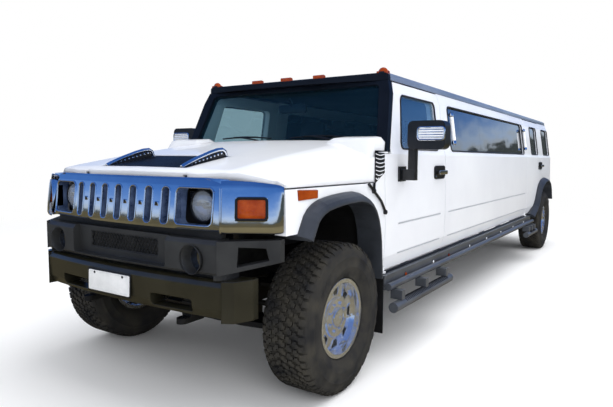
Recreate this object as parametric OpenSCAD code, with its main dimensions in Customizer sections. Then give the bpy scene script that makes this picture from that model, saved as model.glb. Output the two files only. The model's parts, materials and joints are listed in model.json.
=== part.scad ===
// Stretch limousine on an off-road pickup frame, all sizes in millimetres.
// X points forward, Y to the car's left, Z up; the origin lies on the ground below the middle.

/* [Overall] */
// Distance between the two axles
wheelbase = 6167; // [5700:1:7000]
// Nose of the front bumper ahead of the front axle
front_overhang = 790; // [770:1:830]
// Rear bumper behind the rear axle
rear_overhang = 912; // [890:1:960]
// Width over the body sides
body_w = 1924; // [1900:1:1950]
// Width over the wheel flares
flare_w = 2062; // [2030:1:2100]
// Clear line between neighbouring panels
shut_gap = 8; // [6:0.5:12]
// Clearance where one piece is seated on another
seat = 0.5; // [0.3:0.1:0.8]

/* [Body heights] */
// Underside of the painted sides
sill_z = 590; // [588:1:600]
// Lower pressed line
crease_low_z = 690; // [670:1:720]
// Upper pressed line
crease_high_z = 900; // [870:1:940]
// Belt line under the windows
belt_z = 1385; // [1370:1:1400]
// Lower edge of the side windows
window_base_z = 1424; // [1415:1:1450]
// Upper edge of the side windows
window_top_z = 1812; // [1780:1:1825]
// Lower edge of the dark roof rail
roof_edge_z = 1905; // [1890:1:1920]
// Top of the roof rail
roof_side_z = 1966; // [1955:1:1972]
// Rise of the middle of the roof above its rail
roof_rise = 6; // [2:1:30]

/* [Sides] */
// Thickness of doors and side walls
wall = 70; // [60:1:80]
// Glass thickness
glass_t = 6; // [5:0.5:8]
// Depth of the glass behind the outer face
glass_in = 14; // [10:1:20]
// Hinge line of the front doors behind the front axle
front_hinge_x = -665; // [-680:1:-660]
// Length of a front door behind its hinge line
front_door_l = 1150; // [1100:1:1200]
// Hinge line of the rear doors ahead of the rear axle
rear_hinge_x = 978; // [960:1:1000]
// Length of a rear door behind its hinge line
rear_door_l = 1001; // [980:1:1015]
// Rounded front edge of a door
nose_r = 38; // [36:1:42]
// Hinge pin radius
pin_r = 9; // [7:0.5:10]
// Radial clearance of a hinge pin
pin_clear = 0.3; // [0.2:0.05:0.5]

/* [Wheels] */
// Tyre radius
tyre_r = 436; // [425:1:445]
// Tyre width
tyre_w = 315; // [300:1:325]
// Distance between the wheel centres of one axle
track = 1763; // [1740:1:1790]
// Rim radius over its lip
rim_r = 230; // [222:1:236]
// Rim width over its lips
rim_w = 236; // [226:1:244]
// Spokes in a rim
spokes = 8; // [6:1:10]
// Steering line inboard of the wheel middle
kingpin_in = 60; // [54:1:66]
// Width of a flare band
flare_band = 56; // [48:1:62]
// Depth of a flare from its lip inwards
flare_depth = 171; // [160:1:180]

/* [Front] */
// Grille foot
grille_low_z = 990; // [985:1:1000]
// Grille top
grille_high_z = 1252; // [1246:1:1256]
// Slots in the grille
slots = 7; // [5:2:7]
// Distance between the slots
slot_pitch = 120; // [115:1:122]
// Width of a slot
slot_w = 56; // [48:1:60]
// Radius of a headlamp
headlamp_r = 88; // [80:1:90]
// Hood hinge line ahead of the front axle
hood_hinge_x = 637; // [634:1:639]
// Hood hinge line height
hood_hinge_z = 1240; // [1238:1:1242]
// Hood skin thickness
hood_t = 36; // [30:1:42]

/* [Chassis] */
// Underside of the frame rails
rail_low_z = 505; // [500:1:510]
// Top of the frame rails
rail_top_z = 585; // [580:1:587]
// Outer face of the frame rails
rail_y = 440; // [425:1:450]
// Width of a frame rail
rail_w = 70; // [60:1:80]
// Tow eye bore radius
eye_r = 14; // [12:0.5:16]
// Hitch tube inner width
hitch_in = 51; // [50:0.5:53]

/* [Hidden] */
$fn = 48;
half_w = body_w / 2;
front_axle_x = (wheelbase + rear_overhang - front_overhang) / 2;
rear_x = -wheelbase;
hinge_y = half_w - nose_r + 10;
door_top_z = roof_edge_z - shut_gap;
wheel_y = track / 2;
kingpin_y = wheel_y - kingpin_in;
hub_face = 36;
h_col = 0;

rear_hinge = rear_x + rear_hinge_x;
win_r = 45;
front_win = [-1680, -916, -1003];
rear_win = [rear_hinge - rear_door_l + 265, rear_hinge - 271, rear_hinge - 271];
long_win = [rear_hinge + 204, front_hinge_x - front_door_l - 180];
quarter_win = [rear_x - 690, rear_hinge - rear_door_l - 155];
gate_w = 1394;
gate_win = gate_w / 2 - 97;
gate_glass = [1430, 1790];
gate_hinge_z = 1852;
gate_hinge_x = rear_x - 710 + 34;
roof_front_x = -790;
roof_bow_r = 4500;
roof_lamps = [for (a = [-795, -295, 0, 295, 795]) [roof_front_x - 38 - a * a / 2 / roof_bow_r, a]];
roof_t = 46;
roof_slope = [150, 26];
screen_x = -662;
screen_z = 1398;
screen_tilt = 21.5;
screen_heights = [belt_z - 20, belt_z, window_base_z, window_top_z, roof_edge_z];
fender_front_x = 505;
fender_top_z = 1197;
hood_low_z = fender_top_z + shut_gap;
cowl_x = -491;
flare_y = flare_w / 2;
flare_in = flare_y - flare_depth;
flare_root = flare_y - 63;
grille_x = 768;
hood_front_x = 652;
panel_x = 560;
wing_turn = 35;
marker_lamp = [[217, 1141], [396, 1137], [402, 1191], [217, 1184]];
wing_lamp = [622, 838];
wing_plan = [[706, 716], [690, 745], [560, 926], [530, 944], [fender_front_x + seat, 948],
    [fender_front_x + seat, 900], [536, 890], [660, 716]];
vent_x = 405;
vent_l = 390;
vent_tilt = 9.6;
step_bars = [[front_hinge_x - 1030, front_hinge_x + 90], [rear_x + 850, rear_x + 1450]];
lamp_y = 545;
lamp_z = (grille_low_z + grille_high_z) / 2 - 14;
hinge_y0 = 408;
step_r = 25;
handle_l = 230;
handle_h = 106;
floor_y = half_w - 32 - wall - seat;
cross_x = concat([560, 150, -250], [for (i = [0:6]) -900 - i * (wheelbase - 1427) / 6],
    [rear_x - 313, rear_x - 720]);
cross_h = 60;
pad_h = 20;
jack_x = [-1300, rear_x + 867];
hook_x = 672;

// Outer face of the body side: height, distance inside the widest line
skin_table = [[sill_z - 200, half_w - 32], [sill_z, half_w - 32], [crease_low_z, half_w - 4],
    [crease_high_z, half_w], [belt_z, half_w - 12], [window_base_z, half_w - 24],
    [window_top_z, half_w - 80], [roof_edge_z, half_w - 112], [2100, half_w - 150]];
// Outer edge of the front flare from its front foot to its rear foot
front_arch = [[412, 958], [318, 1115], [40, 1156], [-290, 1158], [-470, 985], [-508, sill_z]];
// Outer edge of the rear flare, measured from the rear axle
rear_arch = [[775, sill_z], [455, 715], [300, 950], [60, 1052], [-280, 1090], [-560, 985], [-668, 745]];
// Rear end of the body: height, place behind the rear axle
tail_table = [[500, -778], [1000, -783], [1820, -722], [roof_edge_z, -690], [roof_side_z + 4, -580],
    [roof_side_z + 84, -520]];

function skin_y(h) = lookup(h, skin_table);
function tail_x(h) = rear_x + lookup(h, tail_table);
function span(a, b) = concat([a], [for (r = skin_table) if (r[h_col] > a && r[h_col] < b) r[h_col]], [b]);
function flip(list) = [for (i = [len(list) - 1:-1:0]) list[i]];
function mirrored(list) = concat(list, flip([for (p = list) [-p[0], p[1]]]));
function pillar_x(h) = screen_x - (h - screen_z) * tan(screen_tilt) - 55 / cos(screen_tilt);
function cut_corners(p) = concat([p[0]],
    [for (i = [0:len(p) - 2]) each [p[i] * 0.75 + p[i + 1] * 0.25, p[i] * 0.25 + p[i + 1] * 0.75]],
    [p[len(p) - 1]]);
function unit(v) = v / norm(v);
function side_of(a, b) = let (d = unit(b - a)) [d[1], -d[0]];
function miter(p, i) = let (n0 = side_of(p[max(i - 1, 0)], p[max(i, 1)]),
    n1 = side_of(p[min(i, len(p) - 2)], p[min(i + 1, len(p) - 1)])) (n0 + n1) / (1 + n0 * n1);
function grow(p, d) = [for (i = [0:len(p) - 1]) p[i] + miter(p, i) * d];
function total(v, i = 0) = i < len(v) - 1 ? v[i] + total(v, i + 1) : v[i];
function rear_path() = [for (p = rear_arch) [p[0] + rear_x, p[1]]];
function smooth(p) = cut_corners(cut_corners(p));

function roof_half() = [[half_w - 112, roof_edge_z + seat], [half_w - 116, roof_side_z - 18],
    [half_w - 150, roof_side_z], [half_w - 300, roof_side_z + roof_rise / 2],
    [1, roof_side_z + roof_rise]];
function roof_under() = [[half_w - 182, roof_edge_z + seat], [half_w - 200, roof_side_z - roof_t],
    [half_w - 300, roof_side_z - roof_t + roof_rise / 2], [1, roof_side_z - roof_t + roof_rise]];

module from_axle() translate([front_axle_x, 0, 0]) children();
module both() {
    children();
    mirror([0, 1, 0]) children();
}
module along_x(x0, x1) translate([x0, 0, 0]) rotate([90, 0, 90]) linear_extrude(x1 - x0) children();
module along_y(y0, y1) translate([0, y1, 0]) rotate([90, 0, 0]) linear_extrude(y1 - y0) children();
module box(x0, x1, y0, y1, z0, z1) translate([x0, y0, z0]) cube([x1 - x0, y1 - y0, z1 - z0]);
module rod_y(r, y0, y1) translate([0, y0, 0]) rotate([-90, 0, 0]) cylinder(r = r, h = y1 - y0);
module rod_x(r, x0, x1) translate([x0, 0, 0]) rotate([0, 90, 0]) cylinder(r = r, h = x1 - x0);
module pill(a0, a1, b0, b1, r) {
    translate([a0 + r, b0]) square([a1 - a0 - 2 * r, b1 - b0]);
    translate([a0, b0 + r]) square([a1 - a0, b1 - b0 - 2 * r]);
    for (a = [a0 + r, a1 - r], b = [b0 + r, b1 - r]) translate([a, b]) circle(r);
}
module skin(rings, strip = false) {
    n = len(rings[0]);
    m = len(rings);
    h = n / 2;
    quads = [for (i = [0:m - 2], j = [0:n - 1])
        [i * n + j, i * n + (j + 1) % n, (i + 1) * n + (j + 1) % n, (i + 1) * n + j]];
    first = strip ? [for (j = [0:h - 2]) [j, n - 1 - j, n - 2 - j, j + 1]]
        : [for (j = [1:n - 2]) [0, j + 1, j, j]];
    last = [for (q = first) [for (k = [3:-1:0]) q[k] + (m - 1) * n]];
    tris = [for (q = concat(quads, first, last)) each [[q[0], q[1], q[2]], [q[0], q[2], q[3]]]];
    a = rings[0];
    turn = total([for (j = [0:n - 1]) cross(a[j] - a[0], a[(j + 1) % n] - a[0])]) * (rings[1][0] - a[0]);
    polyhedron([for (r = rings) each r], [for (t = tris)
        if (t[0] != t[1] && t[1] != t[2] && t[2] != t[0]) turn > 0 ? flip(t) : t]);
}

// Side walls and doors
module wall_section(z0, z1, inset = 0, t = wall) {
    h = span(z0, z1);
    polygon(concat([for (a = h) [skin_y(a) - inset, a]],
        [for (a = flip(h)) [skin_y(a) - inset - t, a]]));
}
module side_wall(x0, x1, z0, z1, inset = 0, t = wall) along_x(x0, x1) wall_section(z0, z1, inset, t);
module window_shape(x0, x1, x1_top) hull()
    for (p = [[x0 + win_r, window_base_z + win_r], [x1 - win_r, window_base_z + win_r],
        [x1_top - win_r, window_top_z - win_r], [x0 + win_r, window_top_z - win_r]])
        translate(p) circle(win_r, $fn = 24);
module window_cut(x0, x1, x1_top) along_y(500, 1200) window_shape(x0, x1, x1_top);
module glass(x0, x1, x1_top) intersection() {
    side_wall(x0, x1, window_base_z + seat, window_top_z - seat, glass_in, glass_t);
    along_y(500, 1200) window_shape(x0 + seat, x1 - seat, x1_top - seat);
}
module pressed_line(x0, x1) for (h = [crease_low_z, crease_high_z])
    translate([0, 0, h]) box(x0, x1, skin_y(h) - 5, skin_y(h) + 20, -6, 6);
module arch_shape(path, d, low) polygon(concat([[path[0][0] + d, low]], grow(path, d),
    [[path[len(path) - 1][0] - d, low]]));
module arch_cut(path, d, low) along_y(400, 1200) arch_shape(path, d, low);
module hinge_line(r) translate([0, hinge_y, sill_z - 100]) cylinder(r = r, h = 1500, $fn = 120);
module foot_pivot() translate([0, hinge_y, sill_z - 16]) {
    cylinder(r = 20, h = 12);
    cylinder(r = pin_r, h = 46);
    box(0, nose_r + shut_gap + 20, -20, 12, 0, 12);
    box(nose_r + shut_gap + 4, nose_r + shut_gap + 20, -20, 12, 0, 30);
}
module top_pivot() translate([0, hinge_y, belt_z + 4]) {
    cylinder(r = 20, h = 10);
    translate([0, 0, -34]) cylinder(r = pin_r, h = 40);
    box(0, nose_r + shut_gap + 20, -20, 12, 0, 10);
    box(nose_r + shut_gap + 4, nose_r + shut_gap + 20, -20, 12, -30, 10);
}
module pivot_bores() translate([0, hinge_y, 0]) for (h = [sill_z - 1, belt_z - 32])
    translate([0, 0, h]) cylinder(r = pin_r + pin_clear, h = 33);
module door(hx, length, outline, nose_top) difference() {
    intersection() {
        side_wall(hx - length - 30, hx + nose_r, sill_z, door_top_z);
        union() {
            along_y(500, 1200) polygon(outline);
            translate([hx, hinge_y, sill_z]) cylinder(r = nose_r, h = nose_top - sill_z);
        }
        translate([hx, 0, 0]) hinge_line(length);
    }
    translate([hx, 0, 0]) pivot_bores();
}
module front_door() color("white") difference() {
    rear = front_hinge_x - front_door_l - 30;
    door(front_hinge_x, front_door_l, [[front_hinge_x, sill_z], [front_hinge_x, belt_z],
        [pillar_x(belt_z) - shut_gap, belt_z], [pillar_x(door_top_z) - shut_gap, door_top_z],
        [rear, door_top_z], [rear, sill_z]], belt_z);
    window_cut(front_win[0], front_win[1], front_win[2]);
    pressed_line(front_win[0] - 30, front_win[1] + 70);
}
module rear_door() color("white") difference() {
    rear = rear_hinge - rear_door_l - 30;
    lip = rear_hinge + nose_r - 4;
    door(rear_hinge, rear_door_l, [[rear_hinge, sill_z], [rear_hinge, window_base_z],
        [lip, window_base_z], [lip, door_top_z], [rear, door_top_z], [rear, sill_z]], window_base_z);
    window_cut(rear_win[0], rear_win[1], rear_win[2]);
    pressed_line(rear_x + 560, rear_hinge - 40);
    arch_cut(smooth(rear_path()), shut_gap, sill_z - 100);
    along_y(400, hinge_y - 4) arch_shape(smooth(rear_path()), shut_gap + 14, sill_z - 100);
    box(rear_x + 700, rear_hinge + 60, 400, 1000, sill_z - 1, sill_z + shut_gap);
}
module front_window() color("dimgray") glass(front_win[0], front_win[1], front_win[2]);
module rear_window() color("dimgray") glass(rear_win[0], rear_win[1], rear_win[2]);
module mirror_unit() color("black") difference() {
    w = skin_y(1195);
    union() {
        box(-945, -835, w + seat, w + 14, 1195, 1300);
        box(-915, -860, w + 8, w + 112, 1205, 1280);
        box(-912, -862, w + 60, w + 112, 1205, 1430);
        along_x(-945, -835) pill(1018, 1282, 1418, 1612, 40);
    }
    along_x(-950, -937) pill(1032, 1268, 1432, 1598, 30);
}
module handle(at, mid) color("black") translate([at, skin_y(mid - handle_h / 2) + seat, mid]) {
    along_y(0, 7) pill(-handle_l / 2, handle_l / 2, -handle_h / 2, handle_h / 2, 24);
    along_y(26, 40) pill(-handle_l / 2 + 22, handle_l / 2 - 22, -16, 16, 15);
    for (a = [-1, 1]) translate([a * (handle_l / 2 - 42), 0, 0]) box(-12, 12, 3, 30, -11, 11);
}
module front_handle() handle(front_win[0] + 20, 1245);
module rear_handle() handle(rear_hinge - rear_door_l + 145, 1262);

// Fixed body
module side_panels() color("white") both() difference() {
    front = front_hinge_x - front_door_l;
    union() {
        difference() {
            side_wall(rear_hinge, front + 20, sill_z, roof_edge_z);
            translate([front_hinge_x, 0, 0]) hinge_line(front_door_l + shut_gap);
            translate([rear_hinge, 0, 0]) hinge_line(nose_r + shut_gap);
            box(rear_hinge - 50, rear_hinge + nose_r + shut_gap, 400, hinge_y, sill_z - 1, 2000);
        }
        translate([rear_hinge, 0, 0]) foot_pivot();
    }
    window_cut(long_win[0], long_win[1], long_win[1]);
    pressed_line(long_win[0] - 70, long_win[1] + 90);
}
module tail_shape() polygon(concat([[0, 400]], [for (r = tail_table) [tail_x(r[h_col]), r[h_col]]],
    [[0, roof_side_z + 84]]));
module quarter_panels() color("white") both() {
    difference() {
        intersection() {
            union() {
                side_wall(tail_x(500) - 50, rear_x + 60, 690, roof_edge_z);
                side_wall(tail_x(500) - 50, tail_x(1905) + 25, 690, roof_edge_z, 0, 300);
            }
            along_y(0, 1200) tail_shape();
        }
        translate([rear_hinge, 0, 0]) hinge_line(rear_door_l + shut_gap);
        window_cut(quarter_win[0], quarter_win[1], quarter_win[1]);
        arch_cut(smooth(rear_path()), seat, 500);
        box(tail_x(500) - 100, tail_x(1905) + 26, 0, gate_w / 2 + shut_gap, 400, 2000);
    }
    translate([gate_hinge_x, 0, gate_hinge_z]) rod_y(pin_r, gate_w / 2 - 20, gate_w / 2 + shut_gap + 5);
}
module side_windows() color("dimgray") both() {
    pane = (long_win[1] - long_win[0]) / 3;
    difference() {
        glass(long_win[0], long_win[1], long_win[1]);
        for (i = [1, 2]) translate([long_win[0] + i * pane, 0, 0])
            box(-1.5, 1.5, 0, 1200, 1300, 1900);
    }
    glass(quarter_win[0], quarter_win[1], quarter_win[1]);
}
module roof_section() polygon(concat(roof_half(), flip([for (p = roof_half()) [-p[0], p[1]]]),
    [for (p = roof_under()) [-p[0], p[1]]], flip(roof_under())));
module roof_panel() color("black") difference() {
    intersection() {
        union() {
            along_x(tail_x(500) - 50, roof_front_x) roof_section();
            for (a = [roof_front_x - roof_slope[0], tail_x(500)])
                box(a, a + roof_slope[0] + 88, -half_w + 150, half_w - 150,
                    roof_edge_z + seat, roof_side_z - 5);
        }
        along_y(-1200, 1200) tail_shape();
        translate([roof_front_x - roof_bow_r, 0, roof_edge_z]) cylinder(r = roof_bow_r, h = 400, $fn = 200);
    }
    translate([roof_front_x, 0, roof_side_z]) along_y(-1200, 1200) polygon([[-roof_slope[0], roof_rise + 1],
        [roof_slope[0], -2 * roof_slope[1]], [roof_slope[0], 200], [-roof_slope[0], 200]]);
    translate([gate_hinge_x, 0, gate_hinge_z]) rod_y(nose_r - 4 + shut_gap, -half_w, half_w);
    for (p = roof_lamps) roof_lamp(p, seat);
}
module screen_plane() translate([screen_x, 0, screen_z]) rotate([0, -screen_tilt, 0])
    rotate([90, 0, 90]) children();
module screen_glass(d) hull() for (s = [-1, 1], p = [[815, 85], [752, 475]])
    translate([s * p[0], p[1]]) circle(40 - d, $fn = 24);
module windscreen_frame() color("black") {
    difference() {
        intersection() {
            screen_plane() translate([0, 0, -55]) linear_extrude(55) difference() {
                polygon([[-960, 0], [960, 0], [960, 560], [-960, 560]]);
                screen_glass(0);
            }
            along_x(-1200, -400) polygon(concat([for (h = screen_heights) [skin_y(h), h]],
                flip([for (h = screen_heights) [-skin_y(h), h]])));
        }
        box(-1200, -500, -1000, 1000, 1300, screen_z + 2);
    }
}
module windscreen() color("dimgray") screen_plane() translate([0, 0, -28]) linear_extrude(glass_t)
    screen_glass(seat);
module front_fenders() color("white") both() difference() {
    union() {
        difference() {
            intersection() {
                side_wall(front_hinge_x + 20, fender_front_x, sill_z, belt_z + 6);
                along_y(500, 1200) polygon([[front_hinge_x, sill_z], [front_hinge_x, belt_z + 6],
                    [cowl_x - shut_gap, belt_z + 6], [cowl_x - shut_gap, fender_top_z],
                    [fender_front_x, fender_top_z], [fender_front_x, 968], [0, 968], [-300, sill_z]]);
            }
            translate([front_hinge_x, 0, 0]) hinge_line(nose_r + shut_gap);
        }
        translate([front_hinge_x, 0, 0]) {
            foot_pivot();
            top_pivot();
        }
    }
    arch_cut(smooth(front_arch), seat, 500);
    along_y(half_w - 32, half_w + 50) intersection() {
        polygon([[front_hinge_x + 54, 1274], [front_hinge_x + 54, belt_z],
            [cowl_x - 18, belt_z], [cowl_x - 18, 1222]]);
        for (i = [0:5]) translate([front_hinge_x, 1224 + i * 26]) square([200, 15]);
    }
    along_y(half_w - 22, half_w + 50) polygon(marker_lamp);
}
module flare(path) {
    profile = [[-flare_band, flare_y], [-flare_band, flare_in], [0, flare_in], [0, flare_root],
        [-9, flare_y - 40], [-24, flare_y - 14], [-40, flare_y - 2]];
    edges = [for (p = profile) grow(path, p[0])];
    skin([for (i = [0:len(path) - 1]) [for (j = [0:len(profile) - 1])
        [edges[j][i][0], profile[j][1], edges[j][i][1]]]]);
}
module wheel_flares() color("dimgray") both() {
    flare(smooth(front_arch));
    flare(smooth(rear_path()));
}
module liner(path, y_in) difference() {
    along_y(y_in, flare_in - seat) arch_shape(path, -22, 300);
    along_y(y_in + 8, flare_in + 50) arch_shape(path, -30, 200);
    box(rear_x - 1200, 900, y_in - 10, flare_in + 60, 100, sill_z + 46);
}
module arch_liners() color("black") both() {
    difference() {
        liner(smooth(front_arch), 500);
        box(0, 700, 450, 1200, 500, 940);
        box(-480, 700, 450, 510, 500, 800);
    }
    liner(smooth(rear_path()), 552);
}
module bowed(face_x, r, half) translate([face_x - r, 0, 0]) rotate([0, 0, -asin(half / r)])
    rotate_extrude(angle = 2 * asin(half / r), $fn = 360) translate([r, 0]) children();
module grille() color("silver") {
    difference() {
        intersection() {
            bowed(grille_x, 4300, 760) polygon([[-50, grille_low_z], [-6, grille_low_z],
                [0, grille_low_z + 12], [-24, grille_high_z - 40], [-32, grille_high_z - 10],
                [-44, grille_high_z], [-56, grille_high_z], [-56, grille_high_z - 26],
                [-52, grille_high_z - 40]]);
            box(hood_front_x + 6, 900, -900, 900, 900, 1300);
            along_x(400, 900) polygon(mirrored([[712, 900], [738, grille_high_z - 41],
                [600, grille_high_z + 1], [600, 1300]]));
        }
        along_x(400, 900) for (i = [0:slots - 1]) translate([(i - (slots - 1) / 2) * slot_pitch, 0])
            pill(-slot_w / 2, slot_w / 2, grille_low_z + 18, grille_high_z - 50, slot_w / 2 - 4);
        along_x(400, 900) for (s = [-1, 1]) translate([s * lamp_y, 0])
            pill(-116, 116, grille_low_z + 22, grille_high_z - 50, 30);
    }
    both() difference() {
        linear_extrude_between(983, grille_high_z - 46) polygon(wing_plan);
        translate([wing_lamp[0], wing_lamp[1], 1104]) rotate([0, 0, wing_turn]) along_x(-200, 60)
            pill(-74, 74, -52, 52, 20);
    }
}
module hood_axis() translate([hood_hinge_x, 0, hood_hinge_z]) children();
module linear_extrude_between(z0, z1) translate([0, 0, z0]) linear_extrude(z1 - z0) children();
module headlamps() color("lightgray") both() translate([panel_x + 40 + seat, lamp_y, lamp_z])
    rotate([0, 90, 0]) rotate_extrude() polygon([[0, 0], [headlamp_r, 0], [headlamp_r, 50],
        [headlamp_r - 12, 62], [40, 70], [0, 72]]);
module amber_lamps() color("orange") {
    both() {
        translate([wing_lamp[0], wing_lamp[1], 1104]) rotate([0, 0, wing_turn]) along_x(-40, -4)
            pill(-74 + seat, 74 - seat, -52 + seat, 52 - seat, 20);
        along_y(half_w - 22 + seat, half_w) polygon([for (p = marker_lamp) p + seat
            * [p[0] > 300 ? -1 : 1, p[1] > 1170 ? -1 : 1]]);
    }
    for (p = roof_lamps) roof_lamp(p, 0);
}
module roof_lamp(p, d) translate([p[0], p[1], roof_side_z]) intersection() {
    box(-26 - d, 26 + d, -40 - d, 40 + d, -46 - d, 100);
    translate([0, 0, -52]) rotate([90, 0, 0]) cylinder(r = 62 + d, h = 90, center = true);
}
module radiator_panel() color("black") {
    difference() {
        box(panel_x, panel_x + 40, -700, 700, 800, 1170);
        box(panel_x - 10, panel_x + 24, -380, 380, 840, 1150);
    }
    both() {
        box(hood_hinge_x - 14, hood_hinge_x + 14, hinge_y0, hinge_y0 + 16, 1100, hood_hinge_z);
        hood_axis() rod_y(14, hinge_y0, hinge_y0 + 16);
        hood_axis() rod_y(pin_r, hinge_y0, hinge_y0 + 52);
        box(panel_x + 20, hood_hinge_x + 14, hinge_y0, hinge_y0 + 16, 1100, 1140);
        box(panel_x + 5, panel_x + 35, 400, 430, rail_top_z + seat, 805);
    }
}
module front_bumper() color("dimgray") {
    difference() {
        bowed(front_overhang, 5500, 717) polygon([[-110, 778], [-14, 778], [0, 792], [0, 930],
            [-18, 950], [-110, 950]]);
        along_x(front_overhang - 62, 900) pill(-391, 391, 793, 1000, 12);
        along_x(front_overhang - 75, 900) pill(-290, 290, 828, 925, 10);
        both() translate([0, 562, 848]) rod_x(75, 690, 900);
    }
    both() difference() {
        linear_extrude_between(778, 948) polygon([[746, 717.2], [514, 934], [480, 934], [480, 905],
            [640, 717.2]]);
        translate([600, 800, 0]) rotate([0, 0, wing_turn + 8]) along_x(-300, 300)
            polygon([[-60, 818], [100, 846], [84, 908], [-52, 918]]);
        along_y(700, 1000) polygon([[800, 700], [745, 776], [514, 834],
            [400, 834], [400, 700]]);
    }
}
module lower_bumper() color("dimgray") {
    difference() {
        bowed(front_overhang - 12, 5500, 735) polygon([[-150, 590], [-60, 560], [-30, 556], [-8, 600],
            [0, 720], [-10, 742], [-30, 752], [-150, 752]]);
        both() along_x(600, 900) pill(262, 548, 574, 640, 14);
    }
    both() {
        linear_extrude_between(545, 752) polygon([[732, 735.2], [700, 790], [600, 830], [560, 830],
            [560, 800], [580, 735.2]]);
        box(598, 690, rail_y - rail_w + 8, rail_y - 8, 700, 778 - seat);
        box(598, 636, rail_y - rail_w + 8, rail_y - 8, rail_top_z + seat, 720);
    }
}
module side_steps() color("dimgray") both() {
    at = half_w + 40;
    ends = [rear_x + 800, front_hinge_x + 60];
    box(ends[0], ends[1], half_w - 40, at - step_r - seat, 470, sill_z - 20);
    translate([0, at, 497]) rod_x(step_r, ends[0], ends[1]);
    for (i = [0:6]) translate([ends[0] + 100 + i * (ends[1] - ends[0] - 200) / 6, 0, 497])
        rod_y(16, rail_y + seat, half_w - 40 - seat);
    for (s = step_bars) {
        translate([0, at + 55, 372]) rod_x(34, s[0], s[1]);
        for (a = [s[0] + 120, (s[0] + s[1]) / 2, s[1] - 120])
            box(a - 25, a + 25, at - 10, at + 76, 372 + 34 + seat, 497 - step_r - seat);
    }
}
module mud_flaps() color("black") both() box(-500, -492, 730, 1020, 215, sill_z - 2);
// Hood: place along X, ridge height, shoulder height
hood_rows = [[hood_front_x, 1262, 1212], [600, 1288, 1213], [420, 1320, 1230], [228, 1352, 1262],
    [-40, 1392, 1305], [-300, 1428, 1347], [-632, 1474, 1400]];
// Raised corners at the rear of the hood: place along X, foot, height above it
hood_bumps = [[-420, 1350, 20], [-480, 1395, 92], [-632, 1405, 97]];
module hood() color("white") difference() {
    union() {
        skin([for (r = hood_rows)
            let (outer = hood_half(r[1], r[2], 0), inner = hood_half(r[1], r[2], hood_t))
            [for (p = concat(outer, flip([for (q = outer) [-q[0], q[1]]]),
                [for (q = inner) [-q[0], q[1]]], flip(inner))) [r[0], p[0], p[1]]]], true);
        both() {
            hood_axis() rod_y(hood_t / 2, hinge_y0 + 22, hinge_y0 + 62);
            skin([for (r = hood_bumps) [for (p = [[940, r[1] - 30], [946, r[1] + r[2] * 0.6],
                [916, r[1] + r[2] * 0.94],
                [880, r[1] + r[2]], [640, r[1] + r[2]], [590, r[1] + r[2] - 22], [570, r[1] - 30]])
                [r[0], p[0], p[1]]]]);
        }
    }
    both() {
        translate([0, 0, 1100]) linear_extrude(300) polygon([[hood_front_x + 10, 470],
            [hood_front_x - 16, 600], [hood_front_x - 27, 690], [524, 884], [fender_front_x - 8, 892],
            [fender_front_x - 8, 1100], [900, 1100], [900, 470]]);
        box(-700, cowl_x, 872, 1100, 1100, belt_z + 22);
        box(hood_hinge_x - 22, hood_hinge_x + 60, hinge_y0 - 6, hinge_y0 + 22, 1100, hood_hinge_z + 20);
        hood_axis() rod_y(pin_r + pin_clear, hinge_y0, hinge_y0 + 58);
    }
    vent_pocket(0);
}
function hood_z(a) = lookup(-a, [for (r = hood_rows) [-r[0], r[1]]]);
function hood_half(ridge, shoulder, d) = [[half_w - 12 - d, hood_low_z],
    [half_w - 12 - d, max(hood_low_z + 2 - d / 30, shoulder - 14 - d * 0.6)],
    [half_w - 30 - d * 0.8, max(hood_low_z + 8 - d / 8, shoulder + 2 - d)],
    [728 - d * 0.3, ridge - 10 - d], [680, ridge - d], [350, ridge + 8 - d], [1, ridge + 10 - d]];
module vent_plane() translate([vent_x, 0, hood_z(vent_x) + 2]) rotate([0, vent_tilt, 0]) children();
module vent_pocket(d) vent_plane() translate([0, 0, -10]) linear_extrude(60) vent_shape(d);
module vent_shape(d) polygon([[-vent_l / 2 + d, -345 + d], [vent_l / 2 - d, -368 + d],
    [vent_l / 2 - d, 368 - d], [-vent_l / 2 + d, 345 - d]]);
module hood_vent() color("dimgray") {
    vent_plane() {
        difference() {
            translate([0, 0, -10 + seat]) linear_extrude(12) vent_shape(seat);
            for (i = [0:5]) translate([-140 + i * 50, -280, -3]) cube([22, 560, 20]);
        }
        both() {
            box(-150, 150, 318, 338, 38, 50);
            for (a = [-150, 130]) box(a, a + 20, 318, 338, -4, 50);
        }
    }
}
module tailgate() color("white") difference() {
    union() {
        along_y(-gate_w / 2, gate_w / 2) polygon(concat([for (h = [700, 1000, gate_hinge_z])
            [tail_x(h), h]], [for (h = [gate_hinge_z, 1000, 700]) [tail_x(h) + 62, h]]));
        translate([gate_hinge_x, 0, gate_hinge_z]) rod_y(nose_r - 6, -gate_w / 2, gate_w / 2);
    }
    along_x(tail_x(1000) - 100, tail_x(1000) + 400)
        pill(-gate_win, gate_win, gate_glass[0], gate_glass[1], 50);
    both() translate([gate_hinge_x, 0, gate_hinge_z]) rod_y(pin_r + pin_clear, gate_w / 2 - 24, gate_w);
}
module tailgate_window() color("dimgray") intersection() {
    along_y(-gate_w / 2, gate_w / 2) polygon([[tail_x(1400) + 14, 1400], [tail_x(1820) + 14, 1820],
        [tail_x(1820) + 20, 1820], [tail_x(1400) + 20, 1400]]);
    along_x(tail_x(1000) - 100, tail_x(1000) + 400)
        pill(-gate_win + seat, gate_win - seat, gate_glass[0] + seat, gate_glass[1] - seat, 50);
}
module rear_bumper() color("dimgray") {
    difference() {
        union() {
            box(rear_x - rear_overhang, rear_x - 800, -900, 900, 560, 690 - 4);
            both() box(rear_x - 800 - 1, rear_x - 668, floor_y + 3, 955, 560, 690 - 4);
        }
        box(rear_x - rear_overhang - 10, rear_x - 840, -300, 300, 600, 700);
    }
    both() box(rear_x - 801, rear_x - 780, rail_y - rail_w, rail_y, 570, 640);
}
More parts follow.
